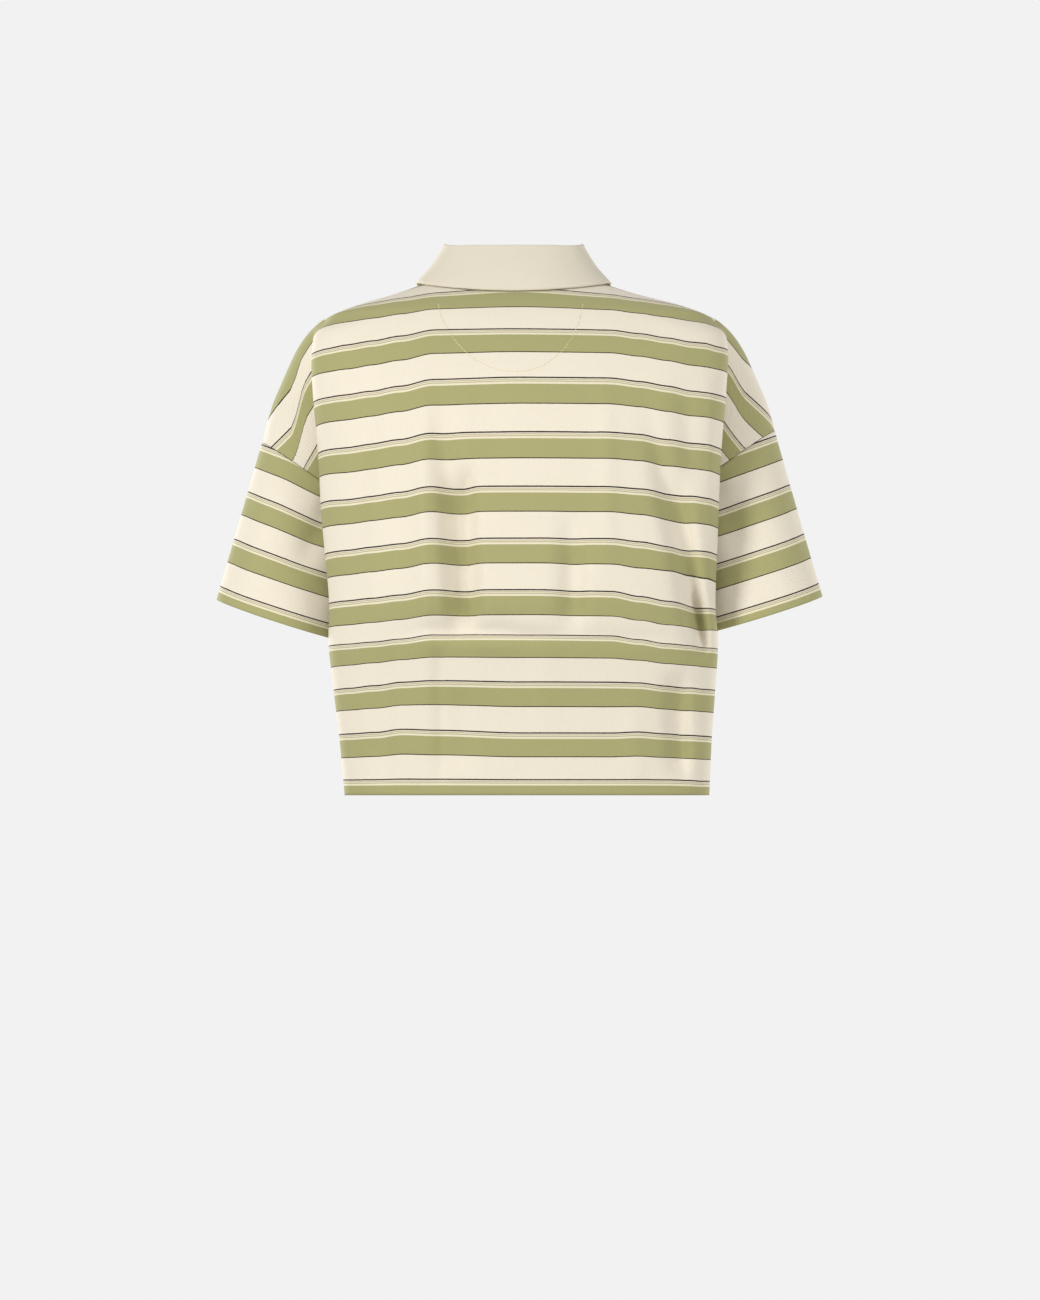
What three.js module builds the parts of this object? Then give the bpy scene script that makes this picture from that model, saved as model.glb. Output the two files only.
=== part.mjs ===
// A cropped polo top, worn and hollow, with no wearer: boxy striped jersey body, dropped
// shoulders, elbow-length sleeves and a plain folded collar. Millimetres, +Z up, front facing -Y.
// The origin lies between the high shoulder points, where the wearer's shoulders carry it.
// The wearer's left is +X. Every cloth piece is a wall that follows a level curve at each height.
import * as THREE from "three";

const CLOTH = 1.6; // wall of the jersey pieces
const COLLAR_CLOTH = 1.8; // two layers of collar cloth pressed together
const BAND_CLOTH = 1.4; // folded front band
const SEAM_GAP = 0.4; // between pieces that are sewn together
const STRIPE_COLOUR = 0xd6d2b0;
const COLLAR_COLOUR = 0xe6dfc8;
const BUTTON_COLOUR = 0xe9e2cf;

const CORNER_Z = -40; // the shoulder corner, where the sleeve side starts to hang
const SLEEVE_TOP_Z = -146; // armhole seam on the outside of the arm
const UNDERARM_Z = -215; // armhole seam under the arm
const HEM_Z = -473;
const RIGHT_LIFT = 11; // the right armhole seam lies this much higher than the left
const CUFF_LEFT = { outer: -291, inner: -331 };
const CUFF_RIGHT = { outer: -288, inner: -326 };
const CUFF_TILT = 4.6; // each cuff is this much lower at the back than at its sides
const SLEEVE_SLOPE = 0.29; // sideways run of the sleeve's outer edge for each millimetre down
const SLEEVE_TOP_X = 239;

const NECK_HALF_WIDTH = 76;
const NECK_TOP_Z = 1;
const BACK_NECK_DROP = 13;
const FRONT_NECK_DROP = 77;
const NECK_LEAN = 6.5; // the neck sits this far towards +X
const HEM_LEAN = -6.4; // and the hem this far towards -X

// The shoulder line and outer arm, seen from the front or back: x at each height.
const RIDGE = [
  { z: 4, x: 68 },
  { z: 1, x: 76 },
  { z: -7.5, x: 95 },
  { z: -17.5, x: 123 },
  { z: -22, x: 138 },
  { z: -30, x: 166 },
  { z: -40, x: 189.5 },
  { z: -59, x: 206 },
  { z: -76, x: 214.5 },
  { z: -94, x: 222.5 },
  { z: -112, x: 230 },
  { z: SLEEVE_TOP_Z, x: SLEEVE_TOP_X },
];

// The upper arm's level ellipse: half width and half depth at each height.
const ARM = [
  { z: -40, wide: 40, deep: 50 },
  { z: -60, wide: 48, deep: 46 },
  { z: -80, wide: 52, deep: 45 },
  { z: -115, wide: 55, deep: 44 },
  { z: -146, wide: 57, deep: 44 },
  { z: -215, wide: 61, deep: 45 },
  { z: -311, wide: 66, deep: 47 },
  { z: -340, wide: 67.5, deep: 47.5 },
];

// Sections of each panel. depth: at the centre line. edgeX, edgeY: the fold edge beside the arm.
// valley: the angle on the arm's ellipse where the fold meets it, in degrees from outermost.
const BACK = [
  { z: 4, depth: 42, edgeX: 172, edgeY: 42, valley: 35 },
  { z: -12, depth: 63, edgeX: 172, edgeY: 42, valley: 35 },
  { z: -40, depth: 90, edgeX: 174, edgeY: 41, valley: 35 },
  { z: -60, depth: 101, edgeX: 188, edgeY: 50, valley: 64 },
  { z: -80, depth: 110, edgeX: 189, edgeY: 55, valley: 76 },
  { z: -115, depth: 121, edgeX: 187, edgeY: 58, valley: 94 },
  { z: -146, depth: 126, edgeX: 184, edgeY: 58, valley: 112 },
  { z: -180, depth: 128, edgeX: 181.5, edgeY: 57, valley: 142 },
  { z: -215, depth: 128, edgeX: 180, edgeY: 55, valley: 180 },
  { z: -255, depth: 128, edgeX: 177.5, edgeY: 52, valley: 180 },
  { z: -300, depth: 125, edgeX: 175, edgeY: 48, valley: 180 },
  { z: -335, depth: 114, edgeX: 177, edgeY: 43, valley: 180 },
  { z: -375, depth: 100, edgeX: 174.5, edgeY: 36, valley: 180 },
  { z: -420, depth: 87, edgeX: 171, edgeY: 28, valley: 180 },
  { z: -473, depth: 76, edgeX: 168, edgeY: 18, valley: 180 },
];
const FRONT = [
  { z: 4, depth: 40, edgeX: 172, edgeY: 42, valley: 35 },
  { z: -40, depth: 66, edgeX: 174, edgeY: 41, valley: 35 },
  { z: -60, depth: 78, edgeX: 182, edgeY: 47, valley: 60 },
  { z: -80, depth: 88, edgeX: 182.5, edgeY: 51, valley: 73 },
  { z: -115, depth: 102, edgeX: 181, edgeY: 54, valley: 92 },
  { z: -146, depth: 110, edgeX: 179, edgeY: 55, valley: 112 },
  { z: -180, depth: 117, edgeX: 177, edgeY: 54, valley: 142 },
  { z: -215, depth: 121, edgeX: 175.5, edgeY: 53, valley: 180 },
  { z: -255, depth: 122, edgeX: 174, edgeY: 51, valley: 180 },
  { z: -300, depth: 120, edgeX: 172, edgeY: 48, valley: 180 },
  { z: -335, depth: 117, edgeX: 171, edgeY: 44, valley: 180 },
  { z: -375, depth: 113, edgeX: 169.5, edgeY: 37, valley: 180 },
  { z: -420, depth: 109, edgeX: 168, edgeY: 29, valley: 180 },
  { z: -473, depth: 105, edgeX: 166.5, edgeY: 19, valley: 180 },
];

// The side seam: pushed in beside the arm, back out at the hem.
const SIDE = [
  { z: -215, x: 133 },
  { z: -255, x: 139.5 },
  { z: -300, x: 147 },
  { z: -335, x: 153 },
  { z: -375, x: 159 },
  { z: -420, x: 163 },
  { z: -473, x: 165.5 },
];

// Soft folds, each a trough (height below 0) or ridge from one point to another, in mm.
const BACK_FOLDS = [
  { name: "left blade trough", x0: 66, z0: -150, x1: 58, z1: -325, spread: 12, height: -6.5 },
  { name: "left blade ridge", x0: 84, z0: -120, x1: 84, z1: -440, spread: 9, height: 3 },
  { name: "centre trough", x0: -44, z0: -235, x1: -42, z1: -322, spread: 11, height: -4.5 },
  { name: "right arm trough", x0: -122, z0: -175, x1: -158, z1: -335, spread: 10, height: -9.5 },
  { name: "right hem trough", x0: -134, z0: -372, x1: -136, z1: -447, spread: 11, height: -4 },
  { name: "left hem trough", x0: 58, z0: -385, x1: 60, z1: -445, spread: 14, height: -3 },
  { name: "waist crease", x0: 88, z0: -331, x1: -150, z1: -335, spread: 7, height: -4 },
];
const FRONT_FOLDS = [
  { name: "left chest trough", x0: 118, z0: -150, x1: 132, z1: -320, spread: 13, height: -5 },
  { name: "right chest trough", x0: -112, z0: -160, x1: -138, z1: -330, spread: 12, height: -6 },
  { name: "left hang ridge", x0: 74, z0: -170, x1: 82, z1: -455, spread: 13, height: 4 },
  { name: "right hang ridge", x0: -66, z0: -190, x1: -72, z1: -455, spread: 14, height: 4 },
  { name: "centre hem trough", x0: 8, z0: -300, x1: 12, z1: -460, spread: 18, height: -3 },
];

// Collar sections from the centre back (0) over the shoulder point (1) to the centre front (2).
// foldIn, rise: the folded top, inside and above the neckline. flare, drop: the free edge.
// slide: how far the free edge runs on towards the back of the neck. bow: how far it swells midway.
const COLLAR = [
  { at: 0, foldIn: 4, rise: 35, flare: 14.8, drop: -10, slide: 0, bow: 1 },
  { at: 0.3, foldIn: 4, rise: 34, flare: 15.2, drop: -9.4, slide: 0, bow: 1 },
  { at: 0.5, foldIn: 4.5, rise: 32.5, flare: 16, drop: -8.4, slide: 0, bow: 0 },
  { at: 0.7, foldIn: 8, rise: 32.5, flare: 17, drop: -6, slide: 0, bow: -1 },
  { at: 0.8, foldIn: 10.5, rise: 33, flare: 16, drop: -3.7, slide: 0, bow: -1.6 },
  { at: 0.9, foldIn: 12, rise: 34.5, flare: 14.5, drop: -2.3, slide: 0, bow: -1.8 },
  { at: 1, foldIn: 12.5, rise: 36.5, flare: 13, drop: -2, slide: 0, bow: -1.8 },
  { at: 1.12, foldIn: 13, rise: 35, flare: 13, drop: 6, slide: 1, bow: 0 },
  { at: 1.25, foldIn: 12, rise: 31, flare: 16, drop: 2, slide: 4, bow: 1 },
  { at: 1.6, foldIn: 4, rise: 27, flare: 20, drop: -10, slide: 12, bow: 2 },
  { at: 1.94, foldIn: 1, rise: 25, flare: 22, drop: -30, slide: 32, bow: 2 },
];

const PATCH_CLOTH = 1; // the half-moon patch inside the back of the neck
const PATCH_HALF_WIDTH = 68;
const PATCH_SHIFT = 2.5; // towards +X
const PATCH_SWEEP = 78; // degrees of the half-ellipse each side of its lowest point
const PATCH_CENTRE_Z = -20;
const PATCH_DEPTH = 86;
const PATCH_BELOW_NECK = 3;
const BAND_HALF_WIDTH = 14;
const BAND_TOP_Z = -80;
const BAND_BOTTOM_Z = -196;
const BUTTON_RADIUS = 5.5;
const BUTTON_THICK = 2.4;
const BUTTON_HEIGHTS = [-98, -156];

const EDGE_Q = 0.6; // share of a half panel's columns from the centre to the fold edge
const VALLEY_Q = 0.78;
const BACK_ROUND = 2.3; // how square the back is across
const FRONT_ROUND = 2.2;

// A smooth monotone curve through one column of a table.
function track(rows, key) {
  const t = rows.map((r) => -r.z);
  const v = rows.map((r) => r[key]);
  const slope = t.slice(1).map((b, i) => (v[i + 1] - v[i]) / (b - t[i]));
  const m = t.map((_, i) => {
    if (i === 0) return slope[0];
    if (i === t.length - 1) return slope[i - 1];
    const a = slope[i - 1];
    const b = slope[i];
    return a * b <= 0 ? 0 : (2 * a * b) / (a + b);
  });
  return (z) => {
    const s = Math.min(Math.max(-z, t[0]), t[t.length - 1]);
    let i = 0;
    while (i < t.length - 2 && s > t[i + 1]) i++;
    const h = t[i + 1] - t[i];
    const u = (s - t[i]) / h;
    const u2 = u * u;
    const u3 = u2 * u;
    return (
      (2 * u3 - 3 * u2 + 1) * v[i] +
      (u3 - 2 * u2 + u) * h * m[i] +
      (3 * u2 - 2 * u3) * v[i + 1] +
      (u3 - u2) * h * m[i + 1]
    );
  };
}

const rad = THREE.MathUtils.degToRad;
const lerp = THREE.MathUtils.lerp;
const clamp = THREE.MathUtils.clamp;
const smooth = (t) => THREE.MathUtils.smoothstep(t, 0, 1);

const ridgeX = track(RIDGE, "x");
const armWide = track(ARM, "wide");
const armDeep = track(ARM, "deep");
const sideX = track(SIDE, "x");
const outerX = (z) =>
  z > SLEEVE_TOP_Z ? ridgeX(z) : SLEEVE_TOP_X + SLEEVE_SLOPE * (SLEEVE_TOP_Z - z);

function face(rows, folds, round, neckDrop, sign, levelZ) {
  const tracks = {};
  for (const key of ["depth", "edgeX", "edgeY", "valley"]) tracks[key] = track(rows, key);
  return { ...tracks, folds, round, neckDrop, sign, levelZ, curves: new Map() };
}
const back = face(BACK, BACK_FOLDS, BACK_ROUND, BACK_NECK_DROP, 1, CORNER_Z);
const front = face(FRONT, FRONT_FOLDS, FRONT_ROUND, FRONT_NECK_DROP, -1, -96);

const SEAM_MID = (SLEEVE_TOP_Z + UNDERARM_Z) / 2;
const SEAM_AMP = (SLEEVE_TOP_Z - UNDERARM_Z) / 2;
const seamZ = (angle) => SEAM_MID + SEAM_AMP * Math.cos(angle);
const seamAngle = (z) => Math.acos(clamp((z - SEAM_MID) / SEAM_AMP, -1, 1));
const cuffZ = ({ outer, inner }, angle) =>
  (outer + inner) / 2 + ((outer - inner) / 2) * Math.cos(angle) - CUFF_TILT * Math.sin(angle);

const armPoint = (z, angle) => [
  outerX(z) - armWide(z) + armWide(z) * Math.cos(angle),
  armDeep(z) * Math.sin(angle),
];

// Lifts a point of the right arm side with its armhole seam, keeping the arm's outline: share is 1
// on the arm and 0 on the body.
function liftArm(point, share) {
  const { x, z } = point;
  const rise = RIGHT_LIFT * share * smooth((-60 - z) / 70) * smooth((z + 285) / 70);
  const across = clamp((Math.abs(x) - outerX(z)) / (2 * armWide(z)) + 1, 0, 1);
  point.x -= across * (outerX(z + rise) - outerX(z));
  point.z += rise;
  return point;
}

// Points a fixed step apart along a line of points, and where the marked ones fell.
function respace(points, marks, step) {
  const at = [0];
  for (let i = 1; i < points.length; i++)
    at.push(
      at[i - 1] + Math.hypot(points[i][0] - points[i - 1][0], points[i][1] - points[i - 1][1]),
    );
  const total = at[at.length - 1];
  const n = Math.max(8, Math.round(total / step));
  const out = [];
  let k = 0;
  for (let i = 0; i <= n; i++) {
    const s = (total * i) / n;
    while (k < at.length - 2 && at[k + 1] < s) k++;
    const u = at[k + 1] > at[k] ? (s - at[k]) / (at[k + 1] - at[k]) : 0;
    out.push([lerp(points[k][0], points[k + 1][0], u), lerp(points[k][1], points[k + 1][1], u)]);
  }
  return { out, marks: marks.map((m) => Math.round((at[m] / total) * n)) };
}

// The level curve of one half of a panel at height z, from the centre line to the shoulder line,
// armhole seam or side seam, rounded where it folds.
const STEP = 2.5;
const ROUNDING = 12;
function levelCurve(f, z) {
  const key = z.toFixed(3);
  if (f.curves.has(key)) return f.curves.get(key);
  const level = Math.min(z, CORNER_Z);
  const edge = [f.edgeX(level), f.edgeY(level)];
  const depth = f.depth(level);
  const points = [];
  for (let a = 0; a <= 90; a += 3)
    points.push([
      edge[0] * Math.sin(rad(a)) ** (2 / f.round),
      edge[1] + (depth - edge[1]) * Math.cos(rad(a)) ** (2 / f.round),
    ]);
  const edgeMark = points.length - 1;
  const hanging = level > UNDERARM_Z + 0.01;
  const valleyAngle = rad(f.valley(level));
  const valley = hanging ? armPoint(level, valleyAngle) : [sideX(level), 0];
  const middle = hanging ? valley[1] : 0;
  for (let b = 6; b <= 90; b += 6)
    points.push([
      edge[0] - (edge[0] - valley[0]) * Math.sin(rad(b)),
      middle + (edge[1] - middle) * Math.cos(rad(b)),
    ]);
  const valleyMark = points.length - 1;
  if (hanging) {
    const last = level >= SLEEVE_TOP_Z ? 0 : seamAngle(level);
    for (let i = 1; i <= 24; i++) points.push(armPoint(level, lerp(valleyAngle, last, i / 24)));
  }
  const even = respace(points, [edgeMark, valleyMark], STEP);
  let line = even.out;
  for (let k = 0; k < ROUNDING; k++)
    line = line.map((p, i) =>
      i === 0 || i === line.length - 1
        ? p
        : [
            (line[i - 1][0] + 2 * p[0] + line[i + 1][0]) / 4,
            (line[i - 1][1] + 2 * p[1] + line[i + 1][1]) / 4,
          ],
    );
  const at = [0];
  for (let i = 1; i < line.length; i++)
    at.push(at[i - 1] + Math.hypot(line[i][0] - line[i - 1][0], line[i][1] - line[i - 1][1]));
  const total = at[at.length - 1];
  const sEdge = at[even.marks[0]];
  const wanted = at[even.marks[1]];
  const low = sEdge + 0.55 * (total - sEdge);
  const late = smooth((-175 - level) / (-175 - UNDERARM_Z));
  const sValley = hanging ? lerp(Math.min(wanted, total - 12), low, late) : low;
  const curve = { line, at, total, sEdge, sValley };
  f.curves.set(key, curve);
  return curve;
}

// The point of a half level curve at share q, where the fold edge is EDGE_Q and the end 1.
function onCurve(curve, q) {
  const { line, at, total, sEdge, sValley } = curve;
  let s;
  if (q <= EDGE_Q) s = (q / EDGE_Q) * sEdge;
  else if (q <= VALLEY_Q) s = lerp(sEdge, sValley, (q - EDGE_Q) / (VALLEY_Q - EDGE_Q));
  else s = lerp(sValley, total, (q - VALLEY_Q) / (1 - VALLEY_Q));
  let i = 0;
  while (i < at.length - 2 && at[i + 1] < s) i++;
  const u = clamp((s - at[i]) / (at[i + 1] - at[i]), 0, 1);
  return [lerp(line[i][0], line[i + 1][0], u), lerp(line[i][1], line[i + 1][1], u)];
}

// How far the soft folds move a point of a panel in or out.
function foldDepth(f, x, z) {
  let sum = 0;
  for (const { x0, z0, x1, z1, spread, height } of f.folds) {
    const dx = x1 - x0;
    const dz = z1 - z0;
    const long2 = dx * dx + dz * dz;
    const t = ((x - x0) * dx + (z - z0) * dz) / long2;
    const away = Math.abs((x - x0) * dz - (z - z0) * dx) / Math.sqrt(long2);
    const fade = 0.22;
    const along = smooth((t + fade) / (2 * fade)) * smooth((1 + fade - t) / (2 * fade));
    sum += height * along * Math.exp(-((away / spread) ** 2));
  }
  return sum;
}

// A point of the garment's middle surface: face, side (+1 or -1), share q across, height z.
function surface(f, side, q, z) {
  const curve = levelCurve(f, z);
  let [x, y] = onCurve(curve, q);
  if (z > CORNER_Z) {
    x *= ridgeX(z) / ridgeX(CORNER_Z);
    y *= f.depth(z) / f.depth(CORNER_Z);
  }
  x *= side;
  const inside = 1 - smooth((q - 0.45) / 0.15);
  if (z < CORNER_Z) y += inside * foldDepth(f, x, z);
  const point = new THREE.Vector3(x, f.sign * (y + SEAM_GAP / 2), z);
  if (side < 0) liftArm(point, smooth((q - 0.5) / 0.2));
  point.x += NECK_LEAN * smooth((z + 150) / 130) * Math.exp(-((x / 130) ** 4));
  point.x += HEM_LEAN * clamp((UNDERARM_Z - z) / (UNDERARM_Z - HEM_Z), 0, 1);
  return point;
}

// The share q whose half level curve has this x, for points before the fold edge.
function shareAtX(f, x, z) {
  let lo = 0;
  let hi = 1;
  for (let k = 0; k < 30; k++) {
    const mid = (lo + hi) / 2;
    const scale = z > CORNER_Z ? ridgeX(z) / ridgeX(CORNER_Z) : 1;
    if (onCurve(levelCurve(f, z), mid)[0] * scale < x) lo = mid;
    else hi = mid;
  }
  return hi;
}

// The neckline of a face: height and share q where a turn of 0 is the centre line, 90 the shoulder.
function neck(f, turn) {
  const z = NECK_TOP_Z - f.neckDrop * Math.cos(rad(turn)) ** 1.25;
  const x = NECK_HALF_WIDTH * Math.sin(rad(turn));
  return { z, q: turn >= 90 ? 1 : shareAtX(f, x, z) };
}

// A closed wall about a grid of points of its middle surface, rows by columns.
function wall(grid, thick, { wraps = false, flatEnds = null } = {}) {
  const rows = grid.length;
  const cols = grid[0].length;
  const at = (i, j) => {
    const jj = wraps ? (j + cols) % cols : clamp(j, 0, cols - 1);
    return grid[clamp(i, 0, rows - 1)][jj];
  };
  const outer = [];
  const inner = [];
  for (let i = 0; i < rows; i++)
    for (let j = 0; j < cols; j++) {
      const across = at(i, j + 1).clone().sub(at(i, j - 1));
      const down = at(i + 1, j).clone().sub(at(i - 1, j));
      const n = across.cross(down);
      if (flatEnds && flatEnds(i, j)) n.y = 0;
      n.normalize().multiplyScalar(thick / 2);
      outer.push(at(i, j).clone().add(n));
      inner.push(at(i, j).clone().sub(n));
    }
  const points = [...outer, ...inner];
  const half = rows * cols;
  const faces = [];
  const quad = (a, b, c, d) => faces.push(a, b, c, a, c, d);
  const id = (i, j) => i * cols + (wraps ? (j + cols) % cols : j);
  const lastCol = wraps ? cols : cols - 1;
  for (let i = 0; i < rows - 1; i++)
    for (let j = 0; j < lastCol; j++) {
      const [a, b, c, d] = [id(i, j), id(i + 1, j), id(i + 1, j + 1), id(i, j + 1)];
      quad(a, d, c, b);
      quad(a + half, b + half, c + half, d + half);
    }
  for (let j = 0; j < lastCol; j++) {
    quad(id(0, j), id(0, j) + half, id(0, j + 1) + half, id(0, j + 1));
    const [a, b] = [id(rows - 1, j), id(rows - 1, j + 1)];
    quad(a, b, b + half, a + half);
  }
  if (!wraps)
    for (let i = 0; i < rows - 1; i++) {
      quad(id(i, 0), id(i + 1, 0), id(i + 1, 0) + half, id(i, 0) + half);
      const [a, b] = [id(i, cols - 1), id(i + 1, cols - 1)];
      quad(a, a + half, b + half, b);
    }
  const geometry = new THREE.BufferGeometry();
  geometry.setAttribute(
    "position",
    new THREE.Float32BufferAttribute(points.flatMap((p) => [p.x, p.y, p.z]), 3),
  );
  geometry.setIndex(faces);
  return geometry.toNonIndexed();
}

const cloth = (colour, name, geometry) => {
  const material = new THREE.MeshStandardMaterial({ color: colour, roughness: 0.9, metalness: 0 });
  geometry.computeVertexNormals();
  const mesh = new THREE.Mesh(geometry, material);
  mesh.name = name;
  return mesh;
};

const YOKE_ROWS = 5;
const SHOULDER_ROWS = 6;
const ARMHOLE_ROWS = 12;
const LOWER_ROWS = 10;
const HALF_COLUMNS = { centre: 9, fold: 3, arm: 4 };

// The share q of each column of a half panel, centre line first.
function columnShares() {
  const { centre, fold, arm } = HALF_COLUMNS;
  const shares = [];
  for (let i = 0; i < centre; i++) shares.push((EDGE_Q * i) / centre);
  for (let i = 0; i < fold; i++) shares.push(lerp(EDGE_Q, VALLEY_Q, i / fold));
  for (let i = 0; i <= arm; i++) shares.push(lerp(VALLEY_Q, 1, i / arm));
  return shares;
}

// Heights and shares down one column of a panel, from the neckline to the hem.
function columnStations(f, share) {
  const top = neck(f, share * 90);
  const level = lerp(f.levelZ, CORNER_Z, smooth(share / 0.9));
  const stations = [];
  for (let i = 0; i < YOKE_ROWS; i++) {
    const w = i / YOKE_ROWS;
    stations.push({ z: lerp(top.z, level, w), q: lerp(top.q, share, w) });
  }
  for (let i = 0; i < SHOULDER_ROWS; i++)
    stations.push({ z: lerp(level, SLEEVE_TOP_Z, (i / SHOULDER_ROWS) ** 1.4), q: share });
  for (let i = 0; i < ARMHOLE_ROWS; i++)
    stations.push({ z: seamZ(rad((180 * i) / ARMHOLE_ROWS)), q: share });
  for (let i = 0; i <= LOWER_ROWS; i++)
    stations.push({ z: lerp(UNDERARM_Z, HEM_Z, i / LOWER_ROWS), q: share });
  return stations;
}

function panel(f) {
  const shares = columnShares();
  const signed = [...shares.slice(1).reverse().map((q) => -q), ...shares];
  const columns = signed.map((q) => {
    const side = q < 0 ? -1 : 1;
    return columnStations(f, Math.abs(q)).map((s) => surface(f, side, s.q, s.z));
  });
  const grid = columns[0].map((_, i) => columns.map((c) => c[i]));
  if (f.sign > 0) grid.forEach((row) => row.reverse());
  const last = signed.length - 1;
  const sleeveTop = YOKE_ROWS + SHOULDER_ROWS;
  const flatEnds = (i, j) =>
    (j === 0 || j === last) && (i <= sleeveTop || i >= sleeveTop + ARMHOLE_ROWS);
  return wall(grid, CLOTH, { flatEnds });
}

// A sleeve: the arm's ellipses from the armhole seam to the cuff.
const SLEEVE_ROWS = 6;
const SLEEVE_COLUMNS = 24;
const UNDERARM_EASE = 0.7; // the sleeve's top edge sits this much lower under the arm
function sleeve(side) {
  const cuff = side > 0 ? CUFF_LEFT : CUFF_RIGHT;
  const grid = [];
  for (let i = 0; i <= SLEEVE_ROWS; i++) {
    const row = [];
    for (let j = 0; j < SLEEVE_COLUMNS; j++) {
      const angle = (2 * Math.PI * j) / SLEEVE_COLUMNS;
      const ease = UNDERARM_EASE * smooth((-Math.cos(angle) - 0.6) / 0.4);
      const z = lerp(seamZ(angle) - 2.1 * SEAM_GAP - ease, cuffZ(cuff, angle), i / SLEEVE_ROWS);
      const [x, y] = armPoint(z, angle);
      const point = new THREE.Vector3(side * x, y, z);
      row.push(side < 0 ? liftArm(point, 1) : point);
    }
    if (side > 0) row.reverse();
    grid.push(row);
  }
  return wall(grid, CLOTH, { wraps: true });
}

// The neckline's point at a collar station from 0 (centre back) to 2 (centre front).
function neckPoint(at, side) {
  const f = at <= 1 ? back : front;
  const { z, q } = neck(f, 90 * (at <= 1 ? at : 2 - at));
  return surface(f, side, q, z);
}

const collarTracks = {};
for (const key of ["foldIn", "rise", "flare", "drop", "slide", "bow"])
  collarTracks[key] = track(COLLAR.map((r) => ({ ...r, z: -r.at })), key);

const STAND_GAP = 1.5; // the collar's lower edge above the neckline's middle
const FOLD_ROUND = 2.6; // half the thickness of the fold at the collar's top
function collarProfile(at, side) {
  const value = (key) => collarTracks[key](-at);
  const base = neckPoint(at, side);
  const near = 0.03;
  const along = neckPoint(Math.min(at + near, 2), side).sub(neckPoint(Math.max(at - near, 0), side));
  if (at < near) along.set(side, 0, 0);
  along.z = 0;
  along.normalize();
  const out = new THREE.Vector3(along.y, -along.x, 0);
  if (out.x * base.x + out.y * base.y < 0) out.negate();
  const place = (outward, up, back) =>
    base.clone().addScaledVector(out, outward).addScaledVector(along, -back).add(
      new THREE.Vector3(0, 0, up),
    );
  const foldAt = -value("foldIn");
  const top = value("rise");
  const edgeOut = value("flare");
  const edgeUp = value("drop");
  const slide = value("slide");
  return new THREE.CatmullRomCurve3(
    [
      place(0, STAND_GAP, 0),
      place(foldAt * 0.45, top * 0.5, 0),
      place(foldAt - FOLD_ROUND * 0.9, top - 5, 0),
      place(foldAt, top, 0),
      place(foldAt + FOLD_ROUND, top - 4.5, 0),
      place(
        lerp(foldAt + FOLD_ROUND, edgeOut, 0.5) + value("bow"),
        lerp(top - 4.5, edgeUp, 0.5),
        slide * 0.45,
      ),
      place(edgeOut, edgeUp, slide),
    ],
    false,
    "centripetal",
  );
}

const COLLAR_ACROSS = 10;
const COLLAR_END = 1.94;
function collar() {
  const shares = columnShares();
  const stations = [...shares, ...shares.map((q) => 2 - q).reverse().slice(1)]
    .filter((at) => at < COLLAR_END);
  stations.push(COLLAR_END);
  const signed = [
    ...stations.slice(1).reverse().map((at) => ({ at, side: -1 })),
    ...stations.map((at) => ({ at, side: 1 })),
  ];
  const columns = signed.map(({ at, side }) => collarProfile(at, side).getPoints(COLLAR_ACROSS));
  const grid = columns[0].map((_, i) => columns.map((c) => c[i]));
  return wall(grid, COLLAR_CLOTH);
}

// The buttoned front band lies on the front panel, made from its points, moved out.
const BAND_ROWS = 9;
const BAND_LIFT = CLOTH / 2 + BAND_CLOTH / 2 + 0.5;
function bandPoint(x, z, lift) {
  const side = x < 0 ? -1 : 1;
  const here = surface(front, side, shareAtX(front, Math.abs(x), z), z);
  const above = surface(front, side, shareAtX(front, Math.abs(x), z + 2), z + 2);
  const down = here.clone().sub(above).normalize();
  const n = new THREE.Vector3(0, down.z, -down.y).normalize();
  return here.addScaledVector(n, lift);
}
function frontBand() {
  const grid = [];
  for (let i = 0; i <= BAND_ROWS; i++) {
    const row = [];
    for (const share of [-1, -0.5, 0, 0.5, 1])
      row.push(
        bandPoint(share * BAND_HALF_WIDTH, lerp(BAND_TOP_Z, BAND_BOTTOM_Z, i / BAND_ROWS), BAND_LIFT),
      );
    grid.push(row);
  }
  return wall(grid, BAND_CLOTH);
}

// The half-moon patch inside the back of the neck, made from the back's points, moved in.
const PATCH_COLUMNS = 13;
const PATCH_ROWS = 7;
const PATCH_LIFT = CLOTH / 2 + PATCH_CLOTH / 2 + 0.65;
function patchPoint(x, z) {
  const side = x < 0 ? -1 : 1;
  const at = (px, pz) => surface(back, side, shareAtX(back, Math.abs(px), pz), pz);
  const step = 3;
  const here = at(x, z);
  const down = at(x, z - step).sub(here);
  const across = at(Math.abs(x) + step, z).sub(here).multiplyScalar(side);
  const n = across.cross(down).normalize();
  if (n.y > 0) n.negate();
  return here.addScaledVector(n, PATCH_LIFT);
}
function neckPatch() {
  const grid = [];
  for (let i = 0; i <= PATCH_ROWS; i++) {
    const row = [];
    for (let j = 0; j < PATCH_COLUMNS; j++) {
      const across = Math.sin(lerp(-1, 1, j / (PATCH_COLUMNS - 1)) * rad(PATCH_SWEEP));
      const x = PATCH_SHIFT - PATCH_HALF_WIDTH * across;
      const turn = Math.asin(Math.abs(x) / NECK_HALF_WIDTH) / rad(1);
      const high = neck(back, turn).z - PATCH_BELOW_NECK;
      const low = PATCH_CENTRE_Z - PATCH_DEPTH * Math.sqrt(1 - across * across);
      row.push(patchPoint(x, lerp(high, low, i / PATCH_ROWS)));
    }
    grid.push(row);
  }
  return wall(grid, PATCH_CLOTH);
}

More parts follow.
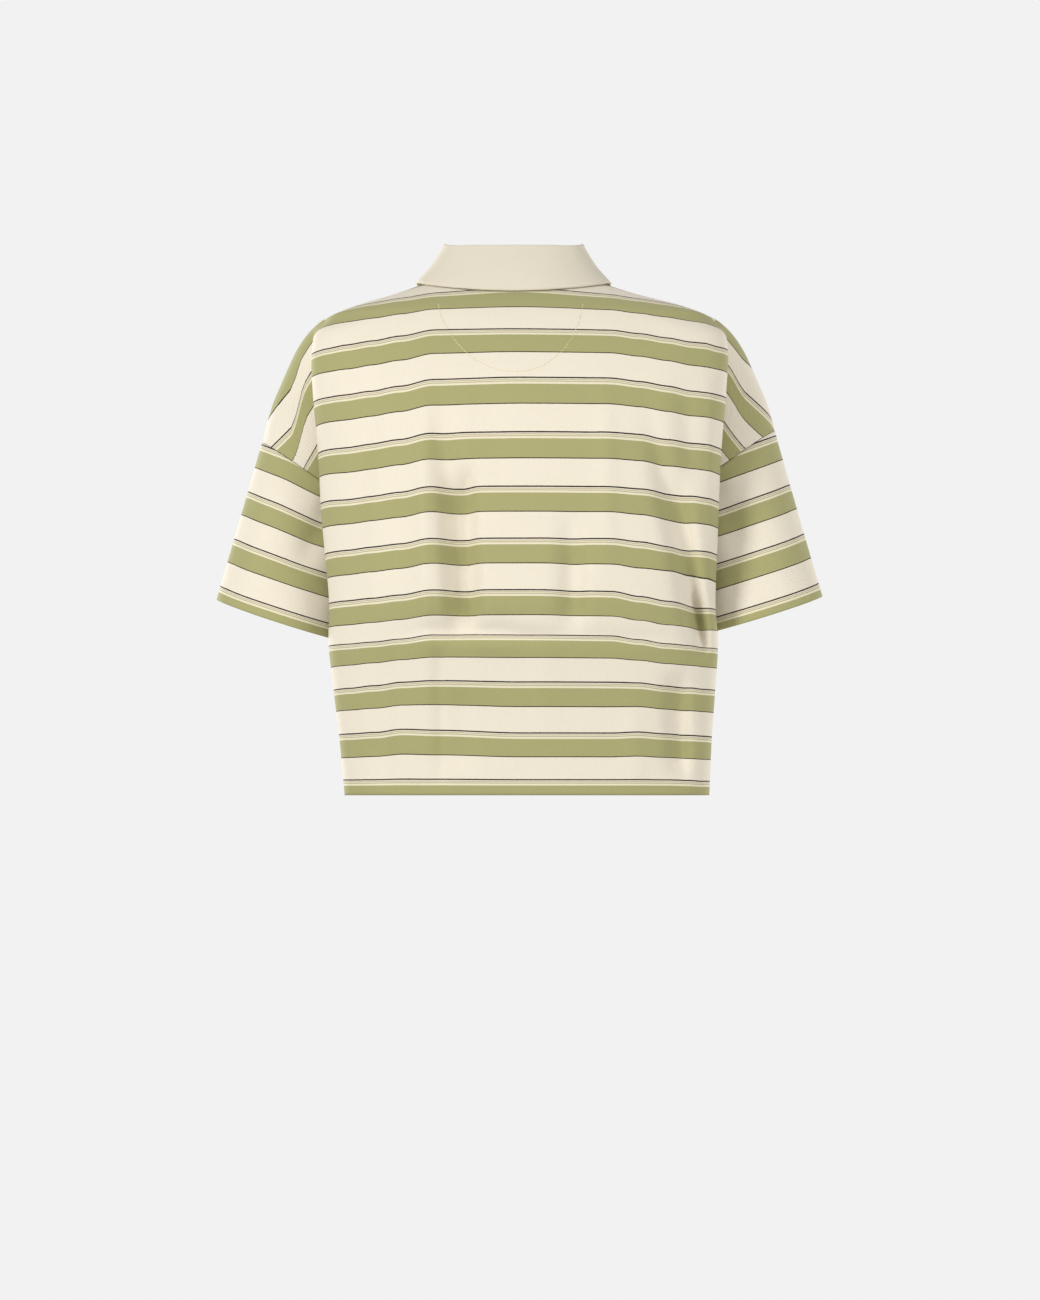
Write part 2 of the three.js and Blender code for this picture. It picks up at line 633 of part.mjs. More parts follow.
// A round button with a raised rim.
function button(z) {
  const profile = [
    [0, -BUTTON_THICK / 2],
    [BUTTON_RADIUS * 0.86, -BUTTON_THICK / 2],
    [BUTTON_RADIUS, -BUTTON_THICK / 6],
    [BUTTON_RADIUS, BUTTON_THICK / 4],
    [BUTTON_RADIUS * 0.86, BUTTON_THICK / 2],
    [BUTTON_RADIUS * 0.68, BUTTON_THICK / 2],
    [BUTTON_RADIUS * 0.6, BUTTON_THICK / 4],
    [0, BUTTON_THICK / 4],
  ].map(([r, h]) => new THREE.Vector2(r, h));
  const geometry = new THREE.LatheGeometry(profile, 24);
  const lift = BAND_LIFT + BAND_CLOTH / 2 + BUTTON_THICK / 2 + 0.35;
  const seat = bandPoint(0, z, lift);
  const n = seat.clone().sub(bandPoint(0, z, 0)).normalize();
  geometry.applyQuaternion(
    new THREE.Quaternion().setFromUnitVectors(new THREE.Vector3(0, 1, 0), n),
  );
  geometry.translate(seat.x, seat.y, seat.z);
  return geometry;
}

const top = new THREE.Group();
top.add(cloth(STRIPE_COLOUR, "back", panel(back)));
top.add(cloth(STRIPE_COLOUR, "front", panel(front)));
top.add(cloth(STRIPE_COLOUR, "sleeve_left", sleeve(1)));
top.add(cloth(STRIPE_COLOUR, "sleeve_right", sleeve(-1)));
top.add(cloth(COLLAR_COLOUR, "collar", collar()));
top.add(cloth(STRIPE_COLOUR, "front_band", frontBand()));
top.add(cloth(STRIPE_COLOUR, "neck_patch", neckPatch()));
BUTTON_HEIGHTS.forEach((z, i) => {
  const disc = new THREE.Mesh(
    button(z),
    new THREE.MeshStandardMaterial({ color: BUTTON_COLOUR, roughness: 0.35, metalness: 0 }),
  );
  disc.name = `button_${i + 1}`;
  top.add(disc);
});

export default top;
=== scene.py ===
import math

import bpy
import numpy as np
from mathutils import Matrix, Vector


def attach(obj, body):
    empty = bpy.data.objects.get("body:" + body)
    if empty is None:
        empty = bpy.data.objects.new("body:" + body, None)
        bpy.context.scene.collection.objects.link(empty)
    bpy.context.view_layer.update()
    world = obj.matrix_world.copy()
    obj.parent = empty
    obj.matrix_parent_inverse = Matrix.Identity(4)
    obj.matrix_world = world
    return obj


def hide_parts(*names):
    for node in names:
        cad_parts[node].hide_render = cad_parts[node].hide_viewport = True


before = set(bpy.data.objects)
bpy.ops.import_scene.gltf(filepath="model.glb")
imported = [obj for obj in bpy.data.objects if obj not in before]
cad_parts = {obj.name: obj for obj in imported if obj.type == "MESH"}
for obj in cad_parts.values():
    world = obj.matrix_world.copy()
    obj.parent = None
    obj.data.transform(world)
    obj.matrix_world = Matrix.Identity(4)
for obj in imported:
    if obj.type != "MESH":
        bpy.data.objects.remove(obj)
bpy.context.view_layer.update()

# A cropped polo top in striped jersey, worn and hollow. Tables are in millimetres, +Z up,
# the front faces -Y. The cloth follows the same level curves as the solids it dresses.

MM = 0.001
CLOTH = 1.4
COLLAR_CLOTH = 1.8
BAND_CLOTH = 1.4
PATCH_CLOTH = 1.0
SOLID_WALL = 1.6
SEAM_GAP = 0.4
CORNER_Z = -40.0
SLEEVE_TOP_Z = -146.0
UNDERARM_Z = -215.0
HEM_Z = -473.0
RIGHT_LIFT = 11.0  # the right armhole seam lies this much higher than the left
LIFT_TOP_Z = -60.0
LIFT_BOTTOM_Z = -285.0
LIFT_EASE = 70.0
CUFF = {1: (-291.0, -331.0), -1: (-288.0, -326.0)}  # height at its outer and its inner side
CUFF_TILT = 4.6
SLEEVE_SLOPE = 0.29
SLEEVE_TOP_X = 239.0
NECK_HALF_WIDTH = 76.0
NECK_TOP_Z = 1.0
NECK_LEAN = 6.5
HEM_LEAN = -6.4

RIDGE = [  # the shoulder line: height, x
    (4, 68), (1, 76), (-7.5, 95), (-17.5, 123), (-22, 138), (-30, 166), (-40, 189.5), (-59, 206),
    (-76, 214.5), (-94, 222.5), (-112, 230), (-146, 239),
]
ARM = [  # the arm's level ellipse: height, half width, half depth
    (-40, 40, 50), (-60, 48, 46), (-80, 52, 45), (-115, 55, 44), (-146, 57, 44),
    (-215, 61, 45), (-311, 66, 47), (-340, 67.5, 47.5),
]
BACK = [  # height, depth at the centre, fold edge x and y, angle where the fold meets the arm
    (4, 42, 172, 42, 35), (-12, 63, 172, 42, 35), (-40, 90, 174, 41, 35),
    (-60, 101, 188, 50, 64), (-80, 110, 189, 55, 76), (-115, 121, 187, 58, 94),
    (-146, 126, 184, 58, 112), (-180, 128, 181.5, 57, 142), (-215, 128, 180, 55, 180),
    (-255, 128, 177.5, 52, 180), (-300, 125, 175, 48, 180), (-335, 114, 177, 43, 180),
    (-375, 100, 174.5, 36, 180), (-420, 87, 171, 28, 180), (-473, 76, 168, 18, 180),
]
FRONT = [
    (4, 40, 172, 42, 35), (-40, 66, 174, 41, 35), (-60, 78, 182, 47, 60),
    (-80, 88, 182.5, 51, 73), (-115, 102, 181, 54, 92), (-146, 110, 179, 55, 112),
    (-180, 117, 177, 54, 142), (-215, 121, 175.5, 53, 180), (-255, 122, 174, 51, 180),
    (-300, 120, 172, 48, 180), (-335, 117, 171, 44, 180), (-375, 113, 169.5, 37, 180),
    (-420, 109, 168, 29, 180), (-473, 105, 166.5, 19, 180),
]
SIDE = [  # the side seam: height, x
    (-215, 133), (-255, 139.5), (-300, 147), (-335, 153), (-375, 159), (-420, 163), (-473, 165.5),
]
# Folds: x and z of each end, half spread, height (a trough is below 0), fade at the ends, and how
# much wider the fold is on the left side of the line from its first end to its second.
BACK_FOLDS = [
    (66, -150, 58, -325, 12, -6.5, 0.22, 0),
    (84, -120, 84, -440, 9, 3, 0.22, 0),
    (-44, -235, -42, -322, 11, -4.5, 0.22, 0),
    (-122, -175, -158, -335, 10, -9.5, 0.22, 0),
    (-134, -372, -136, -447, 11, -4, 0.22, 0),
    (58, -385, 60, -445, 14, -3, 0.22, 0),
    (88, -331, -150, -335, 7, -4, 0.22, 0),
]
BACK_CREASES = [
    (94, -165, 96, -440, 8, 1.4, 0.2, 0),
    (48, -194, 45, -324, 12, -15.5, 0.13, 0.4),
    (74, -190, 71, -322, 10, 3.6, 0.2, 0),
    (86, -190, 86, -335, 5, 1.8, 0.2, 0),
    (74, -352, 76, -462, 8, -3, 0.2, 0.4),
    (-75, -120, -76, -262, 9, 2.0, 0.3, 0),
    (-20, -250, -16, -440, 14, 1.2, 0.3, 0),
    (-50, -258, -50, -320, 10, -4.2, 0.2, 0.4),
    (-139, -198, -163, -338, 9, -8, 0.16, 0.2),
    (-151, -290, -161.5, -342, 6.5, -7.5, 0.2, 0.4),
    (-168, -120, -171, -300, 5, 1.2, 0.3, 0),
    (-146, -118, -150, -230, 11, -3.6, 0.3, 0),
    (128, -110, 150, -300, 12, -2.4, 0.35, 0.2),
    (8, -327, 92, -326, 6, -1.8, 0.14, 0.5),
    (6, -341, 94, -340, 8, 1.8, 0.25, 0),
    (-20, -333, -150, -335, 7, 2.4, 0.2, 0),
    (120, -350, 126, -460, 9, -2.4, 0.25, 0.3),
    (-95, -392, -99, -462, 10, 1.6, 0.3, 0),
    (-140, -374, -142, -452, 9, -5.8, 0.25, 0.4),
    (8, -60, 4, -120, 22, 0.8, 0.4, 0),
    (-100, -52, -150, -70, 9, -1.0, 0.4, 0),
    (100, -50, 150, -66, 9, -1.0, 0.4, 0),
    (150, -90, 120, -128, 7, -1.4, 0.4, 0),
    (22, -130, 16, -190, 15, -0.9, 0.4, 0.3),
    (-112, -120, -118, -170, 10, -1.4, 0.4, 0.3),
]
FRONT_FOLDS = [
    (118, -150, 132, -320, 13, -5, 0.22, 0),
    (-112, -160, -138, -330, 12, -6, 0.22, 0),
    (74, -170, 82, -455, 13, 4, 0.22, 0),
    (-66, -190, -72, -455, 14, 4, 0.22, 0),
    (8, -300, 12, -460, 18, -3, 0.22, 0),
]
FRONT_CREASES = [
    (98, -190, 106, -430, 6, -1.6, 0.25, 0),
    (-92, -220, -98, -400, 6, -1.8, 0.25, 0),
    (146, -120, 156, -300, 7, 1.2, 0.3, 0),
    (-150, -130, -158, -310, 6, -1.6, 0.3, 0),
    (40, -240, 46, -460, 9, -1.4, 0.3, 0),
    (-34, -280, -38, -462, 10, -1.2, 0.3, 0),
    (60, -95, 120, -130, 9, -1.2, 0.4, 0),
    (-60, -92, -118, -122, 10, -1.0, 0.4, 0),
    (100, -318, 30, -326, 6, -1.2, 0.35, 0),
    (-50, -330, -120, -322, 6, -1.3, 0.35, 0),
    (120, -360, 124, -462, 9, -1.6, 0.25, 0),
    (-122, -350, -128, -458, 9, 1.4, 0.25, 0),
]
# Sleeve folds: angle from outermost (degrees, + at the back), height of each end, spread in
# degrees, height, one row per fold. Side 1 is the left sleeve.
SLEEVE_FOLDS = {
    1: [
        (118, -190, 100, -262, 13, -3.2), (70, -205, 62, -300, 16, 1.6),
        (30, -175, 34, -280, 14, -1.2), (-60, -200, -70, -300, 18, -2.4),
        (-110, -215, -96, -290, 14, 2.0), (150, -230, 140, -320, 16, 1.4),
    ],
    -1: [
        (112, -180, 96, -250, 14, -2.6), (64, -210, 70, -300, 15, 1.4),
        (28, -180, 24, -270, 16, -1.4), (-55, -205, -66, -296, 16, -2.2),
        (-112, -210, -100, -300, 15, 1.8), (146, -225, 132, -310, 15, -1.6),
    ],
}
# Number of each repeat of the stripes and the height at the centre of the back where it starts,
# at its dark line. Three repeats also have the height of the line under their green band.
REPEATS = [
    (0, -8.0), (0.49, -36.8), (1, -61.4), (2, -107.3), (3, -156.0), (4, -203.6), (5, -248.8),
    (6, -293.4), (6.49, -315.2), (7, -331.7), (8, -372.3), (9, -417.0), (9.49, -438.6),
    (10, -458.5), (11, -502.0),
]
REPEAT = 47.5  # the cloth's own repeat
# How far the rows hang below level on the body, by height and by x across it.
DROOP_X = (-176, -165, -152, -130, -105, -80, 0, 75, 105, 130, 153, 172, 186)
DROOP = [
    (-26, 13.4, 13.7, 13.7, 11.8, 8.6, 5, 0, 5, 10.3, 13.9, 15.3, 11.8, 9),
    (-44, 10.3, 9.7, 9.7, 7.3, 4.5, 1.7, 0, 1.8, 6.4, 9.5, 11.1, 10, 9),
    (-61, 10.6, 8.7, 8.7, 6, 3, 0.4, 0, 0.4, 5.5, 8.9, 11.2, 13.2, 14.6),
    (-105, 9, 8.7, 8.3, 5.4, 2.3, 0, 0, 1.4, 6.7, 9.6, 11.8, 12.4, 12.8),
    (-156, 6.5, 5.7, 5.6, 4.1, 0.8, 0, 0, 0.6, 5.5, 8, 10, 9.8, 10.4),
    (-204, 6, 5.2, 4.2, 3, 1, 0, 0, 0.1, 4, 6.4, 7.8, 7, 7),
    (-249, 7.6, 7, 6.6, 5.2, 2, 0, 0, 0, 3.8, 5.5, 6.8, 7, 7),
    (-272, 8.5, 7.2, 5.6, 4.4, 3.2, 0.5, 0, 0, 3.6, 5.5, 6.6, 6.7, 6.7),
    (-293, 13, 12.5, 11, 8.5, 5, 1, 0, 0, 3.5, 5.5, 6.4, 6.5, 6.5),
    (-332, 9, 9, 8, 7, 3.6, 0.5, 0, 0, 3, 5, 6, 6, 6),
    (-372, 5, 5, 4, 2.8, 0.4, 0, 0, -1.4, -0.2, 2.4, 4.2, 5, 5),
    (-417, 2.4, 2, 1.4, 0.4, -1, 0, 0, -2.6, -3.6, -1, 0, 0.5, 0.5),
    (-473, 1, 1, 0.5, 0, 0, 0, 0, 0, 0, 0, 0, 0, 0),
]
# On the dropped shoulder the rows run steeply down: heights of each repeat number by x.
SHOULDER_X = (180, 187, 191, 197, 201, 203, 205, 216, 228, 240)
SHOULDER_ROWS = {
    1: [
        (-0.45, -14, -18, -21, -24, -26, -28, -29, -34, -40, -46),
        (0, -32, -36, -37, -39, -40, -41, -42, -48, -57, -68),
        (0.14, -36, -40, -41, -43, -44.5, -45.5, -46.5, -53, -62, -73),
        (0.49, -50, -56, -61, -70, -76, -80, -97, -109, -121, -132),
        (1, -75, -82, -88, -98, -105, -130, -134, -144, -154, -164),
        (1.49, -109, -117, -124, -133, -157, -165, -167, -177, -187, -197),
        (2, -146, -158, -166, -176, -184, -190, -192, -202, -212, -222),
        (2.49, -183, -190, -194, -200, -203, -205, -207, -216, -226, -236),
        (3, -208, -212, -215, -219, -222, -224, -226, -235, -245, -255),
    ],
    -1: [
        (-0.45, -14, -17, -20, -23, -25, -26, -27, -32, -38, -44),
        (0, -29, -33.5, -34.5, -36.5, -38, -39, -40, -45, -52, -58),
        (0.14, -33, -37, -38, -40.5, -42, -43, -44, -50, -57, -64),
        (0.49, -48, -55, -59, -65, -70, -72.5, -74, -79, -86, -95),
        (1, -72, -78, -82, -92, -100, -103, -104.5, -113, -121, -130),
        (1.49, -97, -105, -110, -120, -127, -130, -132, -141, -150, -159),
        (2, -124, -135, -141, -148, -153, -155, -157, -168, -178, -188),
        (2.49, -154, -164.5, -169, -177, -182, -185, -187, -196, -206, -216),
        (3, -180, -190, -196, -205, -210, -213, -215, -224, -234, -244),
    ],
}
# Sleeves: height of the lowest dark line over the cuff, the repeat up the sleeve, and how far
# the rows droop beside the body.
SLEEVE_REPEATS = {1: (13.0, 43.7, 5.0), -1: (12.6, 45.6, 0.0)}

COLLAR = [  # station, fold in and up, free edge out and up, slide towards the back, swell midway
    (0, 4, 35, 14.8, -10, 0, 1), (0.3, 4, 34, 15.2, -9.4, 0, 1), (0.5, 4.5, 32.5, 16, -8.4, 0, 0),
    (0.7, 8, 32.5, 17, -6, 0, -1), (0.8, 10.5, 33, 16, -3.7, 0, -1.6),
    (0.9, 12, 34.5, 14.5, -2.3, 0, -1.8), (1, 12.5, 36.5, 13, -2, 0, -1.8),
    (1.12, 13, 35, 13, 6, 1, 0), (1.25, 12, 31, 16, 2, 4, 1), (1.6, 4, 27, 20, -10, 12, 2),
    (1.94, 1, 25, 22, -30, 32, 2),
]
COLLAR_END = 1.94

PATCH_HALF_WIDTH = 68.0
PATCH_SHIFT = 2.5
PATCH_SWEEP = 78.0
PATCH_CENTRE_Z = -20.0
PATCH_DEPTH = 86.0
PATCH_BELOW_NECK = 3.0
STITCH_TOP_Z = -14.0
BAND_HALF_WIDTH = 14.0
BAND_TOP_Z = -80.0
BAND_BOTTOM_Z = -196.0
BUTTON_HEIGHTS = (-98.0, -156.0)

# Shares along half a level curve: 0 at the centre, then the fold edge, the valley, 1 at the arm.
EDGE_Q = 0.6
VALLEY_Q = 0.78
FOLDS_FADE = (0.45, 0.15)  # share where they start to fade, and over how much
CREASES_FADE = (0.5, 0.1)
LIFT_GROWS = (0.5, 0.2)
CREASE_START = 4.0  # how far above the corner the creases start
CREASE_GROWTH = 30.0
HEM_EASE = 14.0  # the creases fade over this much above the hem
LEAN_START_Z = -150.0  # the lean of the neck grows from here up
LEAN_GROWTH = 130.0
LEAN_HALF_WIDTH = 130.0


def smooth(t):
    t = np.clip(t, 0, 1)
    return t * t * (3 - 2 * t)


def rising(value, start, length):
    """0 up to the start, 1 from a length past it on, smooth between."""
    return smooth((value - start) / length)


def falling(value, start, length):
    """0 above the start, 1 from a length under it down, smooth between."""
    return smooth((start - value) / length)


def lerp(a, b, t):
    return a + (b - a) * t


def track(rows, column):
    """A smooth monotone curve through one column of a table, read by height."""
    t = np.array([-r[0] for r in rows], float)
    v = np.array([r[column] for r in rows], float)
    slope = np.diff(v) / np.diff(t)
    m = np.empty_like(v)
    m[0], m[-1] = slope[0], slope[-1]
    a, b = slope[:-1], slope[1:]
    with np.errstate(divide="ignore", invalid="ignore"):
        m[1:-1] = np.where(a * b <= 0, 0, 2 * a * b / (a + b))

    def read(z):
        s = np.clip(-np.asarray(z, float), t[0], t[-1])
        i = np.clip(np.searchsorted(t, s, side="left") - 1, 0, len(t) - 2)
        h = t[i + 1] - t[i]
        u = (s - t[i]) / h
        return (
            (2 * u**3 - 3 * u**2 + 1) * v[i]
            + (u**3 - 2 * u**2 + u) * h * m[i]
            + (3 * u**2 - 2 * u**3) * v[i + 1]
            + (u**3 - u**2) * h * m[i + 1]
        )

    return read


ridge_x = track(RIDGE, 1)
arm_wide = track(ARM, 1)
arm_deep = track(ARM, 2)
side_x = track(SIDE, 1)


def outer_x(z):
    return np.where(
        z > SLEEVE_TOP_Z, ridge_x(z), SLEEVE_TOP_X + SLEEVE_SLOPE * (SLEEVE_TOP_Z - z)
    )


SEAM_MID = (SLEEVE_TOP_Z + UNDERARM_Z) / 2
SEAM_AMP = (SLEEVE_TOP_Z - UNDERARM_Z) / 2


def seam_z(angle):
    return SEAM_MID + SEAM_AMP * np.cos(angle)


def arm_point(z, angle):
    wide = arm_wide(z)
    return outer_x(z) - wide + wide * np.cos(angle), arm_deep(z) * np.sin(angle)


def lift_arm(x, z, share):
    """Lifts points of the right arm with its armhole seam, keeping the arm's outline."""
    reach = falling(z, LIFT_TOP_Z, LIFT_EASE) * rising(z, LIFT_BOTTOM_Z, LIFT_EASE)
    rise = RIGHT_LIFT * share * reach
    across = np.clip((np.abs(x) - outer_x(z)) / (2 * arm_wide(z)) + 1, 0, 1)
    return x - across * (outer_x(z + rise) - outer_x(z)), z + rise


def arc_length(line):
    return np.concatenate([[0], np.cumsum(np.hypot(*np.diff(line, axis=0).T))])


class Face:
    """Half of the back or the front as level curves, and the cloth that hangs on them."""

    STEP = 2.5
    ROUNDING = 12
    LEVEL_STEP = 1.5
    ARM_STEPS = 24
    SHARES = np.linspace(0, 1, 201)
    LOW_VALLEY = 0.55  # share of the way from the fold edge to the end, where no arm hangs
    VALLEY_MARGIN = 12
    VALLEY_EASE_Z = -175
    HALVINGS = 24
    NECK_POWER = 1.25

    def __init__(self, rows, folds, roundness, neck_drop, sign, level_z):
        self.depth, self.edge_x, self.edge_y, self.valley = (track(rows, k) for k in (1, 2, 3, 4))
        self.folds, self.roundness, self.neck_drop = folds, roundness, neck_drop
        self.sign, self.level_z = sign, level_z
        count = int(round((CORNER_Z - HEM_Z) / self.LEVEL_STEP)) + 1
        self.levels = np.linspace(CORNER_Z, HEM_Z, count)
        self.grid = np.array([self.level_curve(z) for z in self.levels])  # level, share, (x, y)

    def level_curve(self, z):
        edge = np.array([self.edge_x(z), self.edge_y(z)])
        depth = float(self.depth(z))
        a = np.radians(np.arange(0, 91, 3))
        power = 2 / self.roundness
        face = np.c_[
            edge[0] * np.sin(a) ** power,
            edge[1] + (depth - edge[1]) * np.clip(np.cos(a), 0, 1) ** power,
        ]
        hanging = z > UNDERARM_Z + 0.01
        valley_angle = math.radians(float(self.valley(z)))
        valley = np.array(arm_point(z, valley_angle)) if hanging else np.array([side_x(z), 0.0])
        middle = valley[1] if hanging else 0.0
        b = np.radians(np.arange(6, 91, 6))
        back_in = np.c_[
            edge[0] - (edge[0] - valley[0]) * np.sin(b), middle + (edge[1] - middle) * np.cos(b)
        ]
        parts = [face, back_in]
        if hanging:
            last = 0.0
            if z < SLEEVE_TOP_Z:
                last = math.acos(max(-1.0, min(1.0, (z - SEAM_MID) / SEAM_AMP)))
            steps = np.arange(1, self.ARM_STEPS + 1) / self.ARM_STEPS
            angles = lerp(valley_angle, last, steps)
            parts.append(np.c_[arm_point(np.full(self.ARM_STEPS, z), angles)])
        points = np.concatenate(parts)
        marks = [len(face) - 1, len(face) + len(back_in) - 1]
        at = arc_length(points)
        total = at[-1]
        n = max(8, int(math.floor(total / self.STEP + 0.5)))
        even = np.linspace(0, total, n + 1)
        line = np.c_[np.interp(even, at, points[:, 0]), np.interp(even, at, points[:, 1])]
        marks = [int(math.floor(at[m] / total * n + 0.5)) for m in marks]
        for _ in range(self.ROUNDING):
            line[1:-1] = (line[:-2] + 2 * line[1:-1] + line[2:]) / 4
        at = arc_length(line)
        total = at[-1]
        s_edge = at[marks[0]]
        low = s_edge + self.LOW_VALLEY * (total - s_edge)
        late = float(falling(z, self.VALLEY_EASE_Z, self.VALLEY_EASE_Z - UNDERARM_Z))
        high = min(at[marks[1]], total - self.VALLEY_MARGIN)
        s_valley = lerp(high, low, late) if hanging else low
        s = np.interp(self.SHARES, [0, EDGE_Q, VALLEY_Q, 1], [0, s_edge, s_valley, total])
        x = np.interp(s, at, line[:, 0])
        y = np.interp(s, at, line[:, 1])
        return np.c_[x, y]

    def read(self, q, z):
        """x and y of the bare form, for shares q at heights z."""
        zc = np.minimum(z, CORNER_Z)
        r = (self.levels[0] - zc) / (self.levels[0] - self.levels[1])
        i = np.clip(r.astype(int), 0, len(self.levels) - 2)
        u = (r - i)[..., None]
        c = q * (len(self.SHARES) - 1)
        j = np.clip(c.astype(int), 0, len(self.SHARES) - 2)
        w = (c - j)[..., None]
        g = self.grid
        p = (1 - u) * ((1 - w) * g[i, j] + w * g[i, j + 1]) + u * (
            (1 - w) * g[i + 1, j] + w * g[i + 1, j + 1]
        )
        over = z > CORNER_Z
        x = np.where(over, p[..., 0] * ridge_x(z) / ridge_x(CORNER_Z), p[..., 0])
        y = np.where(over, p[..., 1] * self.depth(z) / self.depth(CORNER_Z), p[..., 1])
        return x, y

    def share_at(self, x, z):
        low, high = np.zeros_like(x), np.ones_like(x)
        for _ in range(self.HALVINGS):
            mid = (low + high) / 2
            inside = self.read(mid, z)[0] < x
            low, high = np.where(inside, mid, low), np.where(inside, high, mid)
        return high

    def neck(self, turn):
        """Height and share of the neckline, 0 at the centre and 90 at the shoulder."""
        cos = np.clip(np.cos(np.radians(turn)), 0, 1)
        z = NECK_TOP_Z - self.neck_drop * cos**self.NECK_POWER
        x = NECK_HALF_WIDTH * np.sin(np.radians(turn))
        return z, np.where(turn >= 90, 1.0, self.share_at(x, z))

    def cloth(self, side, q, z, detail=True):
        """Points of the cloth's middle, with side +1 on the wearer's left."""
        x, y = self.read(q, z)
        x = x * side
        inside = 1 - rising(q, *FOLDS_FADE)
        near = np.where(z < CORNER_Z, 1.0, 0.0)
        y = y + near * inside * fold_height(self.folds[0], x, z)
        if detail:
            hem_stays = rising(z, HEM_Z, HEM_EASE)
            fine = 1 - rising(q, *CREASES_FADE)
            rises = falling(z, CORNER_Z + CREASE_START, CREASE_GROWTH)
            y = y + fine * rises * hem_stays * fold_height(self.folds[1], x, z)
        middle = np.exp(-((x / LEAN_HALF_WIDTH) ** 4))
        lean = NECK_LEAN * rising(z, LEAN_START_Z, LEAN_GROWTH) * middle
        lean = lean + HEM_LEAN * np.clip((UNDERARM_Z - z) / (UNDERARM_Z - HEM_Z), 0, 1)
        z = z + 0 * x
        lifted_x, lifted_z = lift_arm(x, z, rising(q, *LIFT_GROWS))
        right = np.asarray(side) < 0
        x, z = np.where(right, lifted_x, x), np.where(right, lifted_z, z)
        return np.stack([x + lean, self.sign * (y + SEAM_GAP / 2), z], axis=-1)


def fold_height(folds, x, z):
    total = np.zeros_like(x * z)
    for x0, z0, x1, z1, spread, height, fade, lean in folds:
        dx, dz = x1 - x0, z1 - z0
        t = ((x - x0) * dx + (z - z0) * dz) / (dx * dx + dz * dz)
        away = ((x - x0) * dz - (z - z0) * dx) / math.hypot(dx, dz)
        away = away / np.where(away > 0, 1 - lean, 1 + lean)
        ends = rising(t, -fade, 2 * fade) * falling(t, 1 + fade, 2 * fade)
        total = total + height * ends * np.exp(-((away / spread) ** 2))
    return total


back = Face(BACK, (BACK_FOLDS, BACK_CREASES), 2.3, 13.0, 1, CORNER_Z)
front = Face(FRONT, (FRONT_FOLDS, FRONT_CREASES), 2.2, 77.0, -1, -96.0)


# Stripes

def repeat_number(height):
    """Which repeat a height at the centre of the back falls in, growing downwards."""
    rows = np.array(REPEATS, float)
    number = np.interp(-height, -rows[:, 1], rows[:, 0])
    return np.where(height > rows[0, 1], (rows[0, 1] - height) / REPEAT, number)


CHORD_Z = -60.0  # above it, heights are measured along the cloth over the shoulder
CHORD_INSET = 6.0
HANG_FADE = 0.13  # shares past the fold edge over which the steep rows take over
HANG_TOP = (-30.0, 10.0)  # height where they start, and over how much
HANG_END = 30.0
ROW_SPREAD = (-3, 0, 3)


def droop(x, z):
    heights = np.array([-row[0] for row in DROOP], float)
    columns = np.array([row[1:] for row in DROOP], float)
    r = np.interp(-z, heights, np.arange(len(heights)))
    c = np.interp(x, DROOP_X, np.arange(len(DROOP_X)))
    i = np.clip(r.astype(int), 0, len(heights) - 2)
    j = np.clip(c.astype(int), 0, len(DROOP_X) - 2)
    u, w = smooth(r - i), smooth(c - j)
    low = (1 - w) * columns[i, j] + w * columns[i, j + 1]
    high = (1 - w) * columns[i + 1, j] + w * columns[i + 1, j + 1]
    return (1 - u) * low + u * high


def shoulder_stripe(side, x, z):
    """The stripe number on the dropped shoulder, where the rows fall steeply outwards."""
    rows = SHOULDER_ROWS[side]
    number = np.full_like(x, float(rows[0][0]))
    for above, below in zip(rows, rows[1:]):
        high, low = (
            sum(np.interp(x + shift, SHOULDER_X, row[1:]) for shift in ROW_SPREAD) / 3
            for row in (above, below)
        )
        number = number + (below[0] - above[0]) * np.clip((high - z) / (high - low), 0, 1)
    return number


def panel_stripe(face, side, points, q):
    """The stripe number of the body's cloth: level on the body, steep past the fold."""
    x, z = np.abs(points[..., 0]), points[..., 2]
    edge = float(face.edge_x(CHORD_Z)) - CHORD_INSET
    shares = face.share_at(np.minimum(x, edge), np.full_like(x, CHORD_Z))
    far = face.read(shares, np.full_like(x, CHORD_Z))[1]
    near = np.abs(points[..., 1])
    run = np.sqrt((z - CHORD_Z) ** 2 + np.maximum(far - near, 0) ** 2)
    body = np.where(z > CHORD_Z, CHORD_Z + run, z)
    body = repeat_number(body + droop(points[..., 0], z))
    shoulder = shoulder_stripe(side, x, z)
    hangs = rising(q, EDGE_Q, HANG_FADE) * falling(z, *HANG_TOP) * rising(z, UNDERARM_Z, HANG_END)
    return lerp(body, shoulder, hangs)


# Meshes

def half_shares(centre, fold, arm):
    return np.concatenate([
        np.linspace(0, EDGE_Q, centre, endpoint=False),
        np.linspace(EDGE_Q, VALLEY_Q, fold, endpoint=False),
        np.linspace(VALLEY_Q, 1, arm + 1),
    ])


YOKE_STEPS = 30
SHOULDER_STEPS = 34
ARMHOLE_STEPS = 24
LOWER_STEPS = 92
YOKE_REACH = 0.9
SHOULDER_POWER = 1.2


